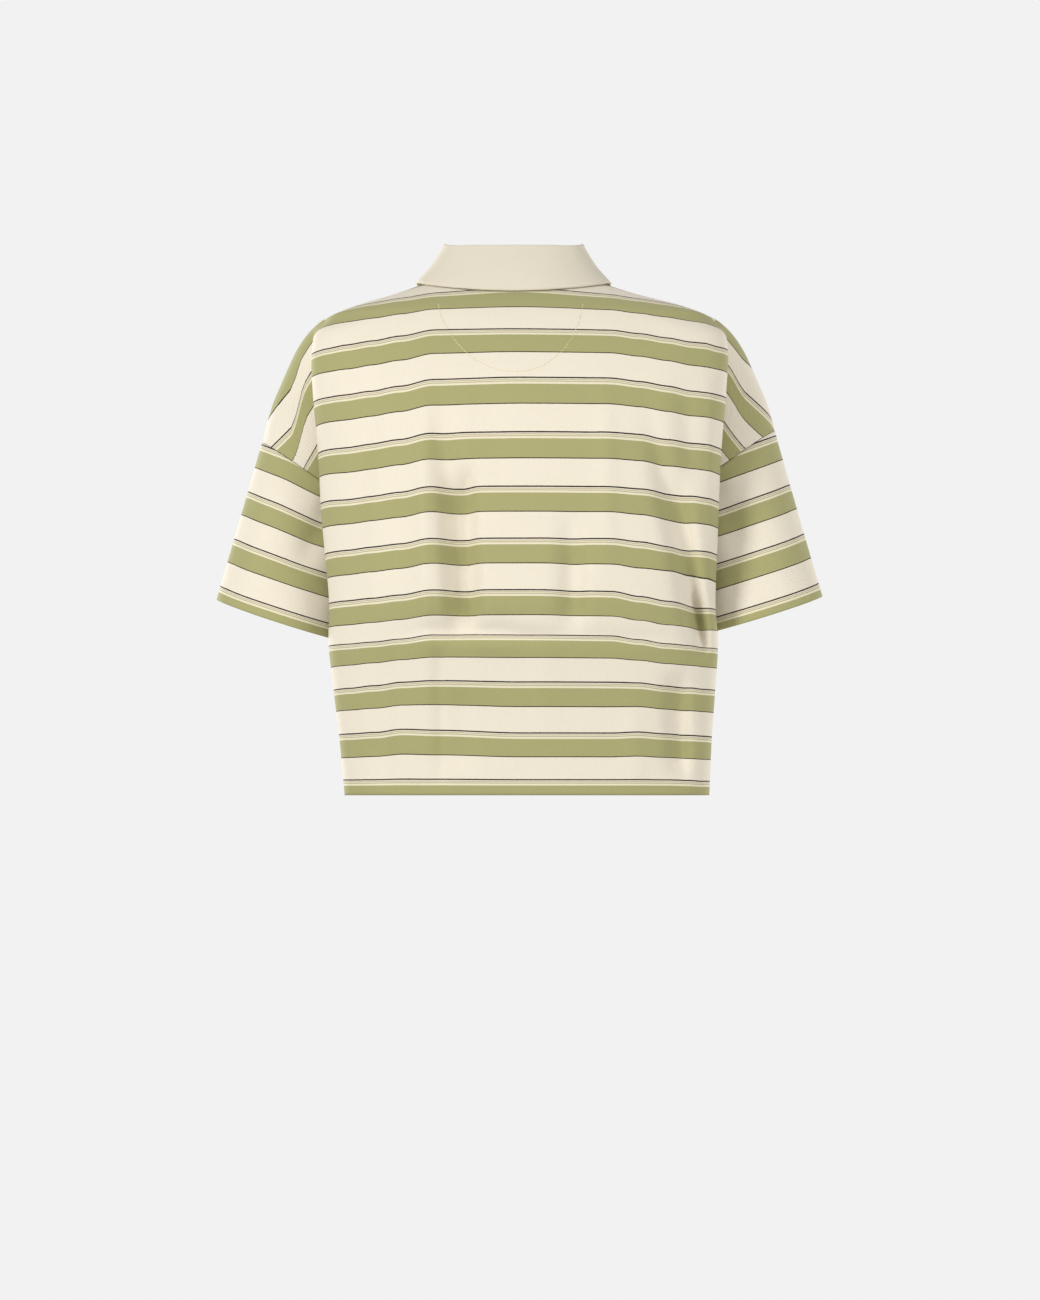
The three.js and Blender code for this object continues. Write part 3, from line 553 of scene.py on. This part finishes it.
def panel_stations(face, share):
    """Heights and shares down each column, from the neckline to the hem."""
    top_z, top_q = face.neck(share * 90)
    level = lerp(face.level_z, CORNER_Z, smooth(share / YOKE_REACH))
    w = np.arange(YOKE_STEPS)[:, None] / YOKE_STEPS
    rows_z = [lerp(top_z, level, w)]
    rows_q = [lerp(top_q, share, w)]
    w = (np.arange(SHOULDER_STEPS + 1)[:, None] / SHOULDER_STEPS) ** SHOULDER_POWER
    rows_z.append(lerp(level, SLEEVE_TOP_Z, w))
    turn = np.pi * np.arange(1, ARMHOLE_STEPS)[:, None] / ARMHOLE_STEPS
    rows_z.append(seam_z(turn) + 0 * share)
    w = np.arange(LOWER_STEPS + 1)[:, None] / LOWER_STEPS
    rows_z.append(lerp(UNDERARM_Z, HEM_Z, w) + 0 * share)
    z = np.concatenate(rows_z)
    q = np.concatenate([rows_q[0], np.tile(share, (len(z) - YOKE_STEPS, 1))])
    return z, q


def grid_faces(rows, columns, wraps=False):
    i, j = np.meshgrid(np.arange(rows - 1), np.arange(columns if wraps else columns - 1),
                       indexing="ij")
    k = (j + 1) % columns
    quads = np.stack([i * columns + j, i * columns + k, (i + 1) * columns + k,
                      (i + 1) * columns + j], axis=-1)
    return quads.reshape(-1, 4)


def piece(name, points, faces, material, values=None):
    """A piece of the top from points in millimetres, riding on its one body."""
    mesh = bpy.data.meshes.new(name)
    flat = np.asarray(points, float).reshape(-1, 3) * MM
    mesh.from_pydata(flat.tolist(), [], np.asarray(faces).tolist())
    for key, field in (values or {}).items():
        layer = mesh.attributes.new(key, "FLOAT", "POINT")
        layer.data.foreach_set("value", np.asarray(field, np.float32).ravel())
    mesh.polygons.foreach_set("use_smooth", [True] * len(mesh.polygons))
    mesh.update()
    made = bpy.data.objects.new(name, mesh)
    bpy.context.scene.collection.objects.link(made)
    mesh.materials.append(material)
    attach(made, "root")
    return made


def thicken(made, thickness):
    solid = made.modifiers.new("cloth", "SOLIDIFY")
    solid.thickness = thickness * MM
    solid.offset = 0
    solid.use_even_offset = False
    solid.use_rim = True


def grid_area(points):
    """Area in square metres of a grid of points in millimetres."""
    a = points[1:, :-1] - points[:-1, :-1]
    b = points[:-1, 1:] - points[:-1, :-1]
    return float(np.linalg.norm(np.cross(a, b), axis=-1).sum() * 1e-6)


# Shader maths

class Value:
    """One socket of a material, so that its maths reads as plain expressions."""

    def __init__(self, material, socket):
        self.material, self.socket = material, socket

    def _math(self, operation, a, b=None):
        inputs = {0: a} if b is None else {0: a, 1: b}
        return self.material.node("ShaderNodeMath", {"operation": operation}, inputs)

    def __add__(self, other):
        return self._math("ADD", self, other)

    def __sub__(self, other):
        return self._math("SUBTRACT", self, other)

    def __mul__(self, other):
        return self._math("MULTIPLY", self, other)

    __radd__ = __add__

    def fract(self):
        return self._math("FRACT", self)

    def sine(self):
        return self._math("SINE", self)

    def ramp(self, low, high):
        """0 below low, 1 above high, smooth between."""
        settings = {"interpolation_type": "SMOOTHSTEP"}
        inputs = {"Value": self, "From Min": low, "From Max": high}
        return self.material.node("ShaderNodeMapRange", settings, inputs)


class Finish:
    """A node material with one Principled shader."""

    def __init__(self, name, **constants):
        self.made = bpy.data.materials.new(name)
        self.made.use_nodes = True
        self.nodes = self.made.node_tree.nodes
        self.links = self.made.node_tree.links
        self.shader = self.nodes["Principled BSDF"]
        for key, value in constants.items():
            self.shader.inputs[key.replace("_", " ")].default_value = value

    def node(self, kind, settings=None, inputs=None, output=0):
        made = self.nodes.new(kind)
        for key, value in (settings or {}).items():
            setattr(made, key, value)
        for key, value in (inputs or {}).items():
            if isinstance(value, Value):
                self.links.new(value.socket, made.inputs[key])
            else:
                made.inputs[key].default_value = value
        return Value(self, made.outputs[output])

    def field(self, name):
        return self.node("ShaderNodeAttribute", {"attribute_name": name}, output="Fac")

    def noise(self, scale, detail=2.0, roughness=0.5):
        where = self.node("ShaderNodeTexCoord", output="Object")
        inputs = {"Vector": where, "Scale": scale, "Detail": detail, "Roughness": roughness}
        return self.node("ShaderNodeTexNoise", inputs=inputs, output="Fac")

    def mix(self, factor, a, b, blend="MIX"):
        made = self.nodes.new("ShaderNodeMix")
        made.data_type, made.blend_type = "RGBA", blend
        for socket, value in ((made.inputs[0], factor), (made.inputs[6], a), (made.inputs[7], b)):
            if isinstance(value, Value):
                self.links.new(value.socket, socket)
            else:
                socket.default_value = value
        return Value(self, made.outputs[2])

    def shaded(self, colour, shade):
        """A colour times one brightness."""
        grey = self.node("ShaderNodeCombineXYZ", inputs={0: shade, 1: shade, 2: shade})
        return self.mix(1.0, colour, grey, "MULTIPLY")

    def feed(self, **sockets):
        for key, value in sockets.items():
            self.links.new(value.socket, self.shader.inputs[key.replace("_", " ")])

    def relief(self, height, strength, distance):
        inputs = {"Height": height, "Strength": strength, "Distance": distance}
        self.feed(Normal=self.node("ShaderNodeBump", inputs=inputs))


# Materials

def srgb(red, green, blue):
    """A colour on the usual scale to 255, as the renderer's linear one."""
    linear = [
        c / 12.92 if c <= 0.04045 else ((c + 0.055) / 1.055) ** 2.4
        for c in (red / 255, green / 255, blue / 255)
    ]
    return (*linear, 1.0)


STRIPE_COLOURS = {
    "cream": srgb(230, 221, 202),
    "sage": srgb(164, 161, 110),
    "dark": srgb(40, 31, 16),
    "tan": srgb(178, 168, 136),
    "straw": srgb(227, 219, 190),
}
# One repeat from its top: where each stripe starts, as a share of the repeat.
STRIPES = [
    ("dark", 0.000), ("cream", 0.026), ("tan", 0.042), ("straw", 0.058), ("tan", 0.074),
    ("straw", 0.092), ("sage", 0.132), ("dark", 0.484), ("cream", 0.503),
]
STRIPE_EDGE = 0.006
STRIPE_WOBBLE = 0.006
WHOLE_REPEATS = 20.0  # added so that the count stays above 0
WALE = 1.7
COURSE = 1.3
RIB = 1.1


def wave(field, period):
    return (field * (2 * math.pi / period)).sine()


def striped_jersey():
    """Fine cotton jersey, knitted in stripes, with its wales running down the cloth."""
    finish = Finish("striped_jersey", Roughness=0.92, Specular_IOR_Level=0.25, Sheen_Weight=0.12,
                    Sheen_Roughness=0.5)
    row, across = finish.field("row"), finish.field("across")
    wobble = (finish.noise(420.0, 1.0) - 0.5) * STRIPE_WOBBLE
    at = (row + wobble + WHOLE_REPEATS).fract()
    colour = STRIPE_COLOURS["dark"]
    for name, start in STRIPES[1:]:
        inside = at.ramp(start - STRIPE_EDGE / 2, start + STRIPE_EDGE / 2)
        colour = finish.mix(inside, colour, STRIPE_COLOURS[name])
    wrap = at.ramp(1.0 - STRIPE_EDGE / 2, 1.0)
    colour = finish.mix(wrap, colour, STRIPE_COLOURS["dark"])
    wale = wave(across, WALE) * 0.5 + 0.5
    course = wave(row, COURSE / REPEAT) * 0.5 + 0.5
    fuzz = finish.noise(900.0, 2.0, 0.6)
    patchy = finish.noise(26.0, 3.0, 0.55)
    mottled = finish.noise(310.0, 2.0, 0.7)
    # Brightness over the stripes: the wale term lightens the crests of the wales and darkens the
    # grooves between them, which is painted shade; the noise terms are random tone in the yarn.
    shade = 0.92 + wale * 0.02 + fuzz * 0.03 + patchy * 0.035 + mottled * 0.07
    finish.feed(Base_Color=finish.shaded(colour, shade))
    finish.relief(wale * 0.6 + course * 0.1 + fuzz * 0.5, strength=0.28, distance=0.0004)
    return finish.made


def collar_cloth():
    """Plain ecru cotton, closer and smoother than the jersey."""
    finish = Finish("collar_cloth", Roughness=0.9, Specular_IOR_Level=0.25, Sheen_Weight=0.1)
    across, down = finish.field("across"), finish.field("down")
    weave = wave(across, RIB) * wave(down, RIB)
    fuzz = finish.noise(800.0, 2.0, 0.6)
    patchy = finish.noise(22.0, 3.0, 0.55)
    worn = finish.mix(patchy, srgb(216, 208, 188), srgb(223, 215, 196))
    finish.feed(Base_Color=finish.shaded(worn, 0.97 + fuzz * 0.04))
    finish.relief(weave * 0.4 + fuzz * 0.5, strength=0.25, distance=0.0004)
    return finish.made


def sewing_thread():
    finish = Finish("sewing_thread", Roughness=0.7, Specular_IOR_Level=0.3)
    twist = finish.noise(2600.0, 1.0)
    finish.feed(Base_Color=finish.mix(twist, srgb(214, 208, 160), srgb(232, 226, 184)))
    finish.relief(twist, strength=0.3, distance=0.0002)
    return finish.made


def button_finish():
    finish = Finish("button", Roughness=0.32, Specular_IOR_Level=0.5, Coat_Weight=0.2)
    cloud = finish.noise(160.0, 3.0, 0.6)
    finish.feed(Base_Color=finish.mix(cloud, srgb(226, 216, 192), srgb(243, 237, 222)))
    finish.relief(cloud, strength=0.08, distance=0.0004)
    return finish.made


JERSEY = striped_jersey()
ECRU = collar_cloth()
THREAD = sewing_thread()
BUTTON = button_finish()


# The body

PANEL_COLUMNS = (74, 22, 22)  # to the fold edge, to the valley, to the arm
WALE_ROW = 120  # the wales are spaced by lengths along this row


def length_along(line):
    """Length up to each point of a line."""
    return np.concatenate([[0], np.cumsum(np.linalg.norm(np.diff(line, axis=0), axis=-1))])


def whole(right, left):
    """Both halves of a grid side by side, with one shared centre column."""
    return np.concatenate([right[:, :0:-1], left], axis=1)


def make_panel(name, face):
    share = half_shares(*PANEL_COLUMNS)
    z, q = panel_stations(face, share)
    halves = []
    for side in (-1, 1):
        points = face.cloth(side, q, z)
        points[:YOKE_STEPS + SHOULDER_STEPS + 1, -1, 1] = face.sign * SEAM_GAP / 2
        stripe = panel_stripe(face, side, points, q)
        across = np.tile(side * length_along(points[WALE_ROW]), (len(z), 1))
        halves.append((points, stripe, across))
    points, stripe, across = (whole(right, left) for right, left in zip(*halves))
    made = piece(name, points, grid_faces(*points.shape[:2]), JERSEY,
                 {"row": stripe, "across": across})
    thicken(made, CLOTH)
    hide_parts(PANEL_NODES[name])
    grid_area(points)


PANEL_NODES = {"back_cloth": "back", "front_cloth": "front"}


# The sleeves

SLEEVE_GAP = 0.4
SLEEVE_TURNS = 132
SLEEVE_ROWS = 64
ARM_RADIUS = 55  # spaces the wales round the sleeve
INNER_EASE = 0.7  # a wider gap on the side of the body
FOLD_FADE = 0.3
SEAM_HOLDS = 16
CUFF_HOLDS = 14
SAG_FADE = 0.8  # how the rows droop beside the body, by the cosine of the angle
SAG_RISE = (10, 150)  # height over the cuff where they start to, and over how much


def sleeve_angle_fold(side, angle, z):
    total = np.zeros_like(angle * z)
    for a0, z0, a1, z1, spread, height in SLEEVE_FOLDS[side]:
        t = (z - z0) / (z1 - z0)
        centre = np.radians(lerp(a0, a1, t))
        away = np.angle(np.exp(1j * (angle - centre)))
        ends = rising(t, -FOLD_FADE, 2 * FOLD_FADE) * falling(t, 1 + FOLD_FADE, 2 * FOLD_FADE)
        total = total + height * ends * np.exp(-((away / math.radians(spread)) ** 2))
    return total


def sleeve_points(side):
    """Grid down the sleeve, the angle running from outermost towards the back."""
    angle = 2 * np.pi * np.arange(SLEEVE_TURNS)[None, :] / SLEEVE_TURNS
    w = np.arange(SLEEVE_ROWS + 1)[:, None] / SLEEVE_ROWS
    outer, inner = CUFF[side]
    cuff = (outer + inner) / 2 + (outer - inner) / 2 * np.cos(angle) - CUFF_TILT * np.sin(angle)
    ease = INNER_EASE * rising(-np.cos(angle), 0.6, 0.4)
    top = seam_z(angle) - SLEEVE_GAP - ease
    z = lerp(top, cuff, w)
    x, y = arm_point(z, angle)
    free = falling(z, top, SEAM_HOLDS) * rising(z, cuff, CUFF_HOLDS)
    bend = sleeve_angle_fold(side, angle, z) * free
    x = x + bend * np.cos(angle)
    y = y + bend * np.sin(angle)
    x = side * x
    if side < 0:
        x, z = lift_arm(x, z, 1.0)
    return np.stack([x, y, z], axis=-1), z - cuff, angle


def make_sleeve(name, node, side):
    points, rise, angle = sleeve_points(side)
    first, repeat, droops = SLEEVE_REPEATS[side]
    sag = droops * falling(np.cos(angle), 0.5, SAG_FADE) * rising(rise, *SAG_RISE)
    stripe = (first - rise - sag) / repeat
    across = np.tile(angle * ARM_RADIUS, (len(points), 1))
    made = piece(name, points, grid_faces(*points.shape[:2], wraps=True),
                 JERSEY, {"row": stripe, "across": across})
    thicken(made, CLOTH)
    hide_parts(node)
    closed = np.concatenate([points, points[:, :1]], axis=1)
    grid_area(closed)


# The collar

def neck_points(stations, side):
    """Points of the neckline at stations from 0, mid back, over 1, the shoulder, to 2, mid front."""
    out = np.empty((len(stations), 3))
    for face, chosen, turn in (
        (back, stations <= 1, 90 * stations),
        (front, stations > 1, 90 * (2 - stations)),
    ):
        if chosen.any():
            z, q = face.neck(turn[chosen])
            out[chosen] = face.cloth(side, q, z, detail=False)
    return out


def catmull(points, count):
    """A centripetal curve through rows of points, evenly parametrised by row."""
    first, last = 2 * points[0] - points[1], 2 * points[-1] - points[-2]
    p = np.concatenate([[first], points, [last]])
    out = []
    spans = len(points) - 1
    for k in range(count + 1):
        t = k / count * spans
        i = min(int(t), spans - 1)
        u = t - i
        p0, p1, p2, p3 = p[i], p[i + 1], p[i + 2], p[i + 3]
        d = [np.maximum(np.linalg.norm(b - a, axis=-1, keepdims=True) ** 0.5, 1e-4)
             for a, b in ((p0, p1), (p1, p2), (p2, p3))]
        m1 = ((p1 - p0) / d[0] - (p2 - p0) / (d[0] + d[1]) + (p2 - p1) / d[1]) * d[1]
        m2 = ((p2 - p1) / d[1] - (p3 - p1) / (d[1] + d[2]) + (p3 - p2) / d[2]) * d[1]
        out.append(
            p1 + u * m1
            + u * u * (-3 * p1 + 3 * p2 - 2 * m1 - m2)
            + u * u * u * (2 * p1 - 2 * p2 + m1 + m2)
        )
    return np.array(out)


STAND_GAP = 1.5
FOLD_ROUND = 2.6
COLLAR_STATIONS = 90
COLLAR_ROWS = 48
COLLAR_WALE_ROW = 24
STATION_STEP = 0.03


def collar_half(side, stations):
    """Rows over the collar, from the seam over the fold to the free edge."""
    table = [(-row[0], *row[1:]) for row in COLLAR]
    fold, rise, flare, drop, slide, bow = (track(table, k)(-stations) for k in range(1, 7))
    fold = -fold
    base = neck_points(stations, side)
    along = (neck_points(np.minimum(stations + STATION_STEP, 2), side)
             - neck_points(np.maximum(stations - STATION_STEP, 0), side))
    along[stations < STATION_STEP] = (side, 0, 0)
    along[:, 2] = 0
    along /= np.linalg.norm(along, axis=1, keepdims=True)
    out = np.c_[along[:, 1], -along[:, 0], 0 * along[:, 0]]
    flip = (out * base).sum(axis=1) < 0
    out[flip] *= -1
    up = np.array([0.0, 0.0, 1.0])

    def place(outward, rise, slide):
        outward, rise, slide = (np.broadcast_to(v, stations.shape)[:, None]
                                for v in (outward, rise, slide))
        return base + out * outward + up * rise - along * slide

    rows = np.stack([
        place(0, STAND_GAP, 0),
        place(fold * 0.45, rise * 0.5, 0),
        place(fold - FOLD_ROUND * 0.9, rise - 5, 0),
        place(fold, rise, 0),
        place(fold + FOLD_ROUND, rise - 4.5, 0),
        place(lerp(fold + FOLD_ROUND, flare, 0.5) + bow, lerp(rise - 4.5, drop, 0.5), slide * 0.45),
        place(flare, drop, slide),
    ])
    return catmull(rows, COLLAR_ROWS)


def make_collar():
    stations = np.linspace(0, COLLAR_END, COLLAR_STATIONS)
    points = whole(collar_half(-1, stations), collar_half(1, stations))
    across = np.tile(length_along(points[COLLAR_WALE_ROW]), (len(points), 1))
    down = np.cumsum(
        np.linalg.norm(np.diff(points, axis=0, prepend=points[:1]), axis=-1), axis=0)
    made = piece("collar_cloth", points, grid_faces(*points.shape[:2]), ECRU,
                 {"across": across, "down": down})
    thicken(made, COLLAR_CLOTH)
    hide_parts("collar")
    grid_area(points)


# The button band, the neck patch and the buttons

PROBE = 2.5


def on_face(face, x, z, lift):
    """Points a given lift out of a face, for x and z on it, and the way out at each."""
    x, z = np.broadcast_arrays(np.asarray(x, float), np.asarray(z, float))
    side = np.where(x < 0, -1.0, 1.0)

    def at(px, pz):
        return face.cloth(side, face.share_at(np.abs(px), pz), pz)

    here = at(x, z)
    down = at(x, z - PROBE) - here
    over = at(np.abs(x) + PROBE, z) - here
    normal = np.cross(over * side[..., None], down)
    normal /= np.linalg.norm(normal, axis=-1, keepdims=True)
    wrong = np.sign(normal[..., 1]) != face.sign
    normal = np.where(wrong[..., None], -normal, normal)
    return here + normal * lift, normal


BAND_LIFT = SOLID_WALL / 2 + BAND_CLOTH / 2 + 0.5
PATCH_LIFT = SOLID_WALL / 2 + PATCH_CLOTH / 2 + 0.65
BAND_SWELL = 0.5
BAND_EDGE = 2.2
PATCH_STRIPES = 0.31  # the patch is cut from another part of the repeat


def make_band():
    x = np.linspace(-BAND_HALF_WIDTH, BAND_HALF_WIDTH, 25)[None, :]
    z = np.linspace(BAND_TOP_Z, BAND_BOTTOM_Z, 60)[:, None]
    swell = falling(np.abs(x), BAND_HALF_WIDTH, BAND_EDGE) * BAND_SWELL
    points, _ = on_face(front, x, z, BAND_LIFT)
    points = points - np.array([0.0, 1.0, 0.0]) * swell[..., None]
    stripe = repeat_number(z + 0 * x)
    made = piece("band_cloth", points, grid_faces(*points.shape[:2]), JERSEY,
                 {"row": stripe, "across": x + 0 * z})
    thicken(made, BAND_CLOTH)
    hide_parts("front_band")


def patch_outline(across):
    """Top and bottom of the neck patch at a share across, from -1 to 1."""
    x = PATCH_SHIFT - PATCH_HALF_WIDTH * across
    turn = np.degrees(np.arcsin(np.abs(x) / NECK_HALF_WIDTH))
    high = back.neck(turn)[0] - PATCH_BELOW_NECK
    low = PATCH_CENTRE_Z - PATCH_DEPTH * np.sqrt(1 - across**2)
    return x, high, low


def make_patch():
    across = np.sin(np.radians(np.linspace(-PATCH_SWEEP, PATCH_SWEEP, 49)))
    x, high, low = patch_outline(across)
    w = np.linspace(0, 1, 30)[:, None]
    z = lerp(high, low, w)
    points, _ = on_face(back, x + 0 * w, z, -PATCH_LIFT)
    made = piece("neck_patch_cloth", points, grid_faces(*points.shape[:2]),
                 JERSEY, {"row": repeat_number(z) + PATCH_STRIPES, "across": x + 0 * w})
    thicken(made, PATCH_CLOTH)
    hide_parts("neck_patch")
    grid_area(points)


THREAD_SIDES = 6
STITCH_SECTION = [  # share along a stitch, radius and lift there as shares of the thread's
    (0.0, 0.35, -0.25), (0.12, 0.85, 0.1), (0.5, 1.0, 0.22), (0.88, 0.85, 0.1), (1.0, 0.35, -0.25),
]


def thread_line(name, path, normals, stitch, gap, radius):
    """A row of stitches: small rounded threads laid along a path, sunk a little in the cloth."""
    at = length_along(path)
    count = int(at[-1] // (stitch + gap))
    ring = np.arange(THREAD_SIDES) * 2 * np.pi / THREAD_SIDES
    stations, swell, lift = np.array(STITCH_SECTION).T
    swell = swell * radius
    lift = lift * 2 * radius

    def read(s, field):
        return np.stack([np.interp(s, at, field[:, k]) for k in range(3)], axis=-1)

    points, faces = [], []
    for n in range(count):
        s = n * (stitch + gap) + stations * stitch
        centre, normal = read(s, path), read(s, normals)
        ahead = centre[-1] - centre[0]
        ahead = ahead / np.linalg.norm(ahead)
        sideways = np.cross(ahead, normal)
        first = len(points)
        for k in range(len(stations)):
            for a in ring:
                points.append(centre[k] + normal[k] * (lift[k] + swell[k] * math.cos(a))
                              + sideways[k] * swell[k] * math.sin(a))
        faces.append(first + grid_faces(len(stations), THREAD_SIDES, wraps=True))
    piece(name, points, np.concatenate(faces), THREAD)


STITCH_INSET = 0.965  # the line of stitches as a share of the patch's outline


def make_patch_stitching():
    """Seen from outside: down each side of the patch and round below it."""
    angle = np.radians(np.linspace(-PATCH_SWEEP, PATCH_SWEEP, 160))
    x = PATCH_SHIFT - PATCH_HALF_WIDTH * STITCH_INSET * np.sin(angle)
    z = PATCH_CENTRE_Z - PATCH_DEPTH * STITCH_INSET * np.cos(angle)
    x = np.concatenate([x[:1], x, x[-1:]])
    z = np.concatenate([[STITCH_TOP_Z], z, [STITCH_TOP_Z]])
    points, normals = on_face(back, x, z, CLOTH / 2)
    thread_line("neck_patch_stitching", points, normals, stitch=3.0, gap=0.7, radius=0.34)


BUTTON_RISE = 1.9
THREAD_X = 1.1
THREAD_HALF = 1.5


def finish_buttons():
    """The solid buttons stay, with their own finish and the thread that holds them."""
    for index, z in enumerate(BUTTON_HEIGHTS):
        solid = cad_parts[f"button_{index + 1}"]
        solid.data.materials.clear()
        solid.data.materials.append(BUTTON)
        lift = BAND_LIFT + BAND_CLOTH / 2 + BUTTON_RISE
        for strand, x in (("a", -THREAD_X), ("b", THREAD_X)):
            seat, normal = on_face(front, [x, x], [z - THREAD_HALF, z + THREAD_HALF], lift)
            thread_line(f"button_thread_{index + 1}_{strand}", seat, normal,
                        stitch=2.6, gap=0.2, radius=0.35)


LIGHTS = [  # name, place, aim, size, power
    ("key", (2.3, 2.55, 0.3), (0, 0, -0.28), 0.9, 76.0),
    ("fill", (-2.4, 2.1, -0.4), (0, 0, -0.3), 1.8, 39.0),
    ("front_key", (2.3, -2.55, 0.3), (0, 0, -0.28), 0.9, 76.0),
    ("front_fill", (-2.4, -2.1, -0.4), (0, 0, -0.3), 1.8, 39.0),
]
PAPER = srgb(242, 242, 242)
PAPER_TURNS = 64
FLOOR_Z = -1.5
ROOM_LIGHT = 0.5  # even light from all round, which the paper only shows
# The paper's section, from the middle of the floor up the wall: radius and height in metres.
PAPER_SECTION = [
    (0.0, 0.0), (2.6, 0.0), (3.1, 0.05), (3.6, 0.25), (3.9, 0.7), (4.0, 1.4), (4.0, 5.0),
]


def make_light(name, place, aim, size, power):
    lamp = bpy.data.lights.new(name, "AREA")
    lamp.shape, lamp.size, lamp.energy = "DISK", size, power
    made = bpy.data.objects.new(name, lamp)
    made.location = place
    made.rotation_euler = (Vector(aim) - Vector(place)).to_track_quat("-Z", "Y").to_euler()
    bpy.context.scene.collection.objects.link(made)


def make_stage():
    """A round of pale paper, floor and wall in one, evenly lit from behind."""
    finish = Finish("pale_paper", Roughness=1.0, Specular_IOR_Level=0.0, Emission_Strength=1.0)
    finish.shader.inputs["Base Color"].default_value = (0, 0, 0, 1)
    finish.shader.inputs["Emission Color"].default_value = PAPER
    angle = 2 * np.pi * np.arange(PAPER_TURNS) / PAPER_TURNS
    points = np.array([
        np.c_[r * np.cos(angle), r * np.sin(angle), np.full(PAPER_TURNS, FLOOR_Z + h)]
        for r, h in PAPER_SECTION
    ])
    mesh = bpy.data.meshes.new("paper")
    mesh.from_pydata(points.reshape(-1, 3).tolist(), [],
                     grid_faces(*points.shape[:2], wraps=True).tolist())
    mesh.materials.append(finish.made)
    paper = bpy.data.objects.new("paper", mesh)
    bpy.context.scene.collection.objects.link(paper)
    paper.visible_diffuse = False
    world = bpy.data.worlds.new("studio")
    world.use_nodes = True
    background = world.node_tree.nodes["Background"]
    background.inputs["Color"].default_value = PAPER
    background.inputs["Strength"].default_value = ROOM_LIGHT
    bpy.context.scene.world = world
    bpy.context.scene.view_settings.view_transform = "Standard"
    bpy.context.scene.view_settings.look = "None"


CAMERA_DISTANCE = 2.0
CAMERA_HEIGHT = -0.473  # level with the hem, which the photo shows edge on
FRAME_CENTRE = -0.338
PHOTO_ROWS = 1300
PHOTO_SCALE = 0.93  # millimetres a pixel at the shoulder line
FRAME_HEIGHT = PHOTO_ROWS * PHOTO_SCALE * MM
SENSOR = 36.0


def make_camera():
    lens = bpy.data.cameras.new("camera")
    lens.sensor_fit = "VERTICAL"
    lens.sensor_height = SENSOR
    lens.lens = SENSOR * CAMERA_DISTANCE / FRAME_HEIGHT
    lens.clip_start, lens.clip_end = 0.05, 60
    lens.shift_y = (FRAME_CENTRE - CAMERA_HEIGHT) / FRAME_HEIGHT
    made = bpy.data.objects.new("camera", lens)
    made.location = (0, CAMERA_DISTANCE, CAMERA_HEIGHT)
    made.rotation_euler = (math.pi / 2, 0, math.pi)
    bpy.context.scene.collection.objects.link(made)
    bpy.context.scene.camera = made


make_panel("back_cloth", back)
make_panel("front_cloth", front)
make_sleeve("sleeve_left_cloth", "sleeve_left", 1)
make_sleeve("sleeve_right_cloth", "sleeve_right", -1)
make_collar()
make_band()
make_patch()
make_patch_stitching()
finish_buttons()
make_stage()
for row in LIGHTS:
    make_light(*row)
make_camera()
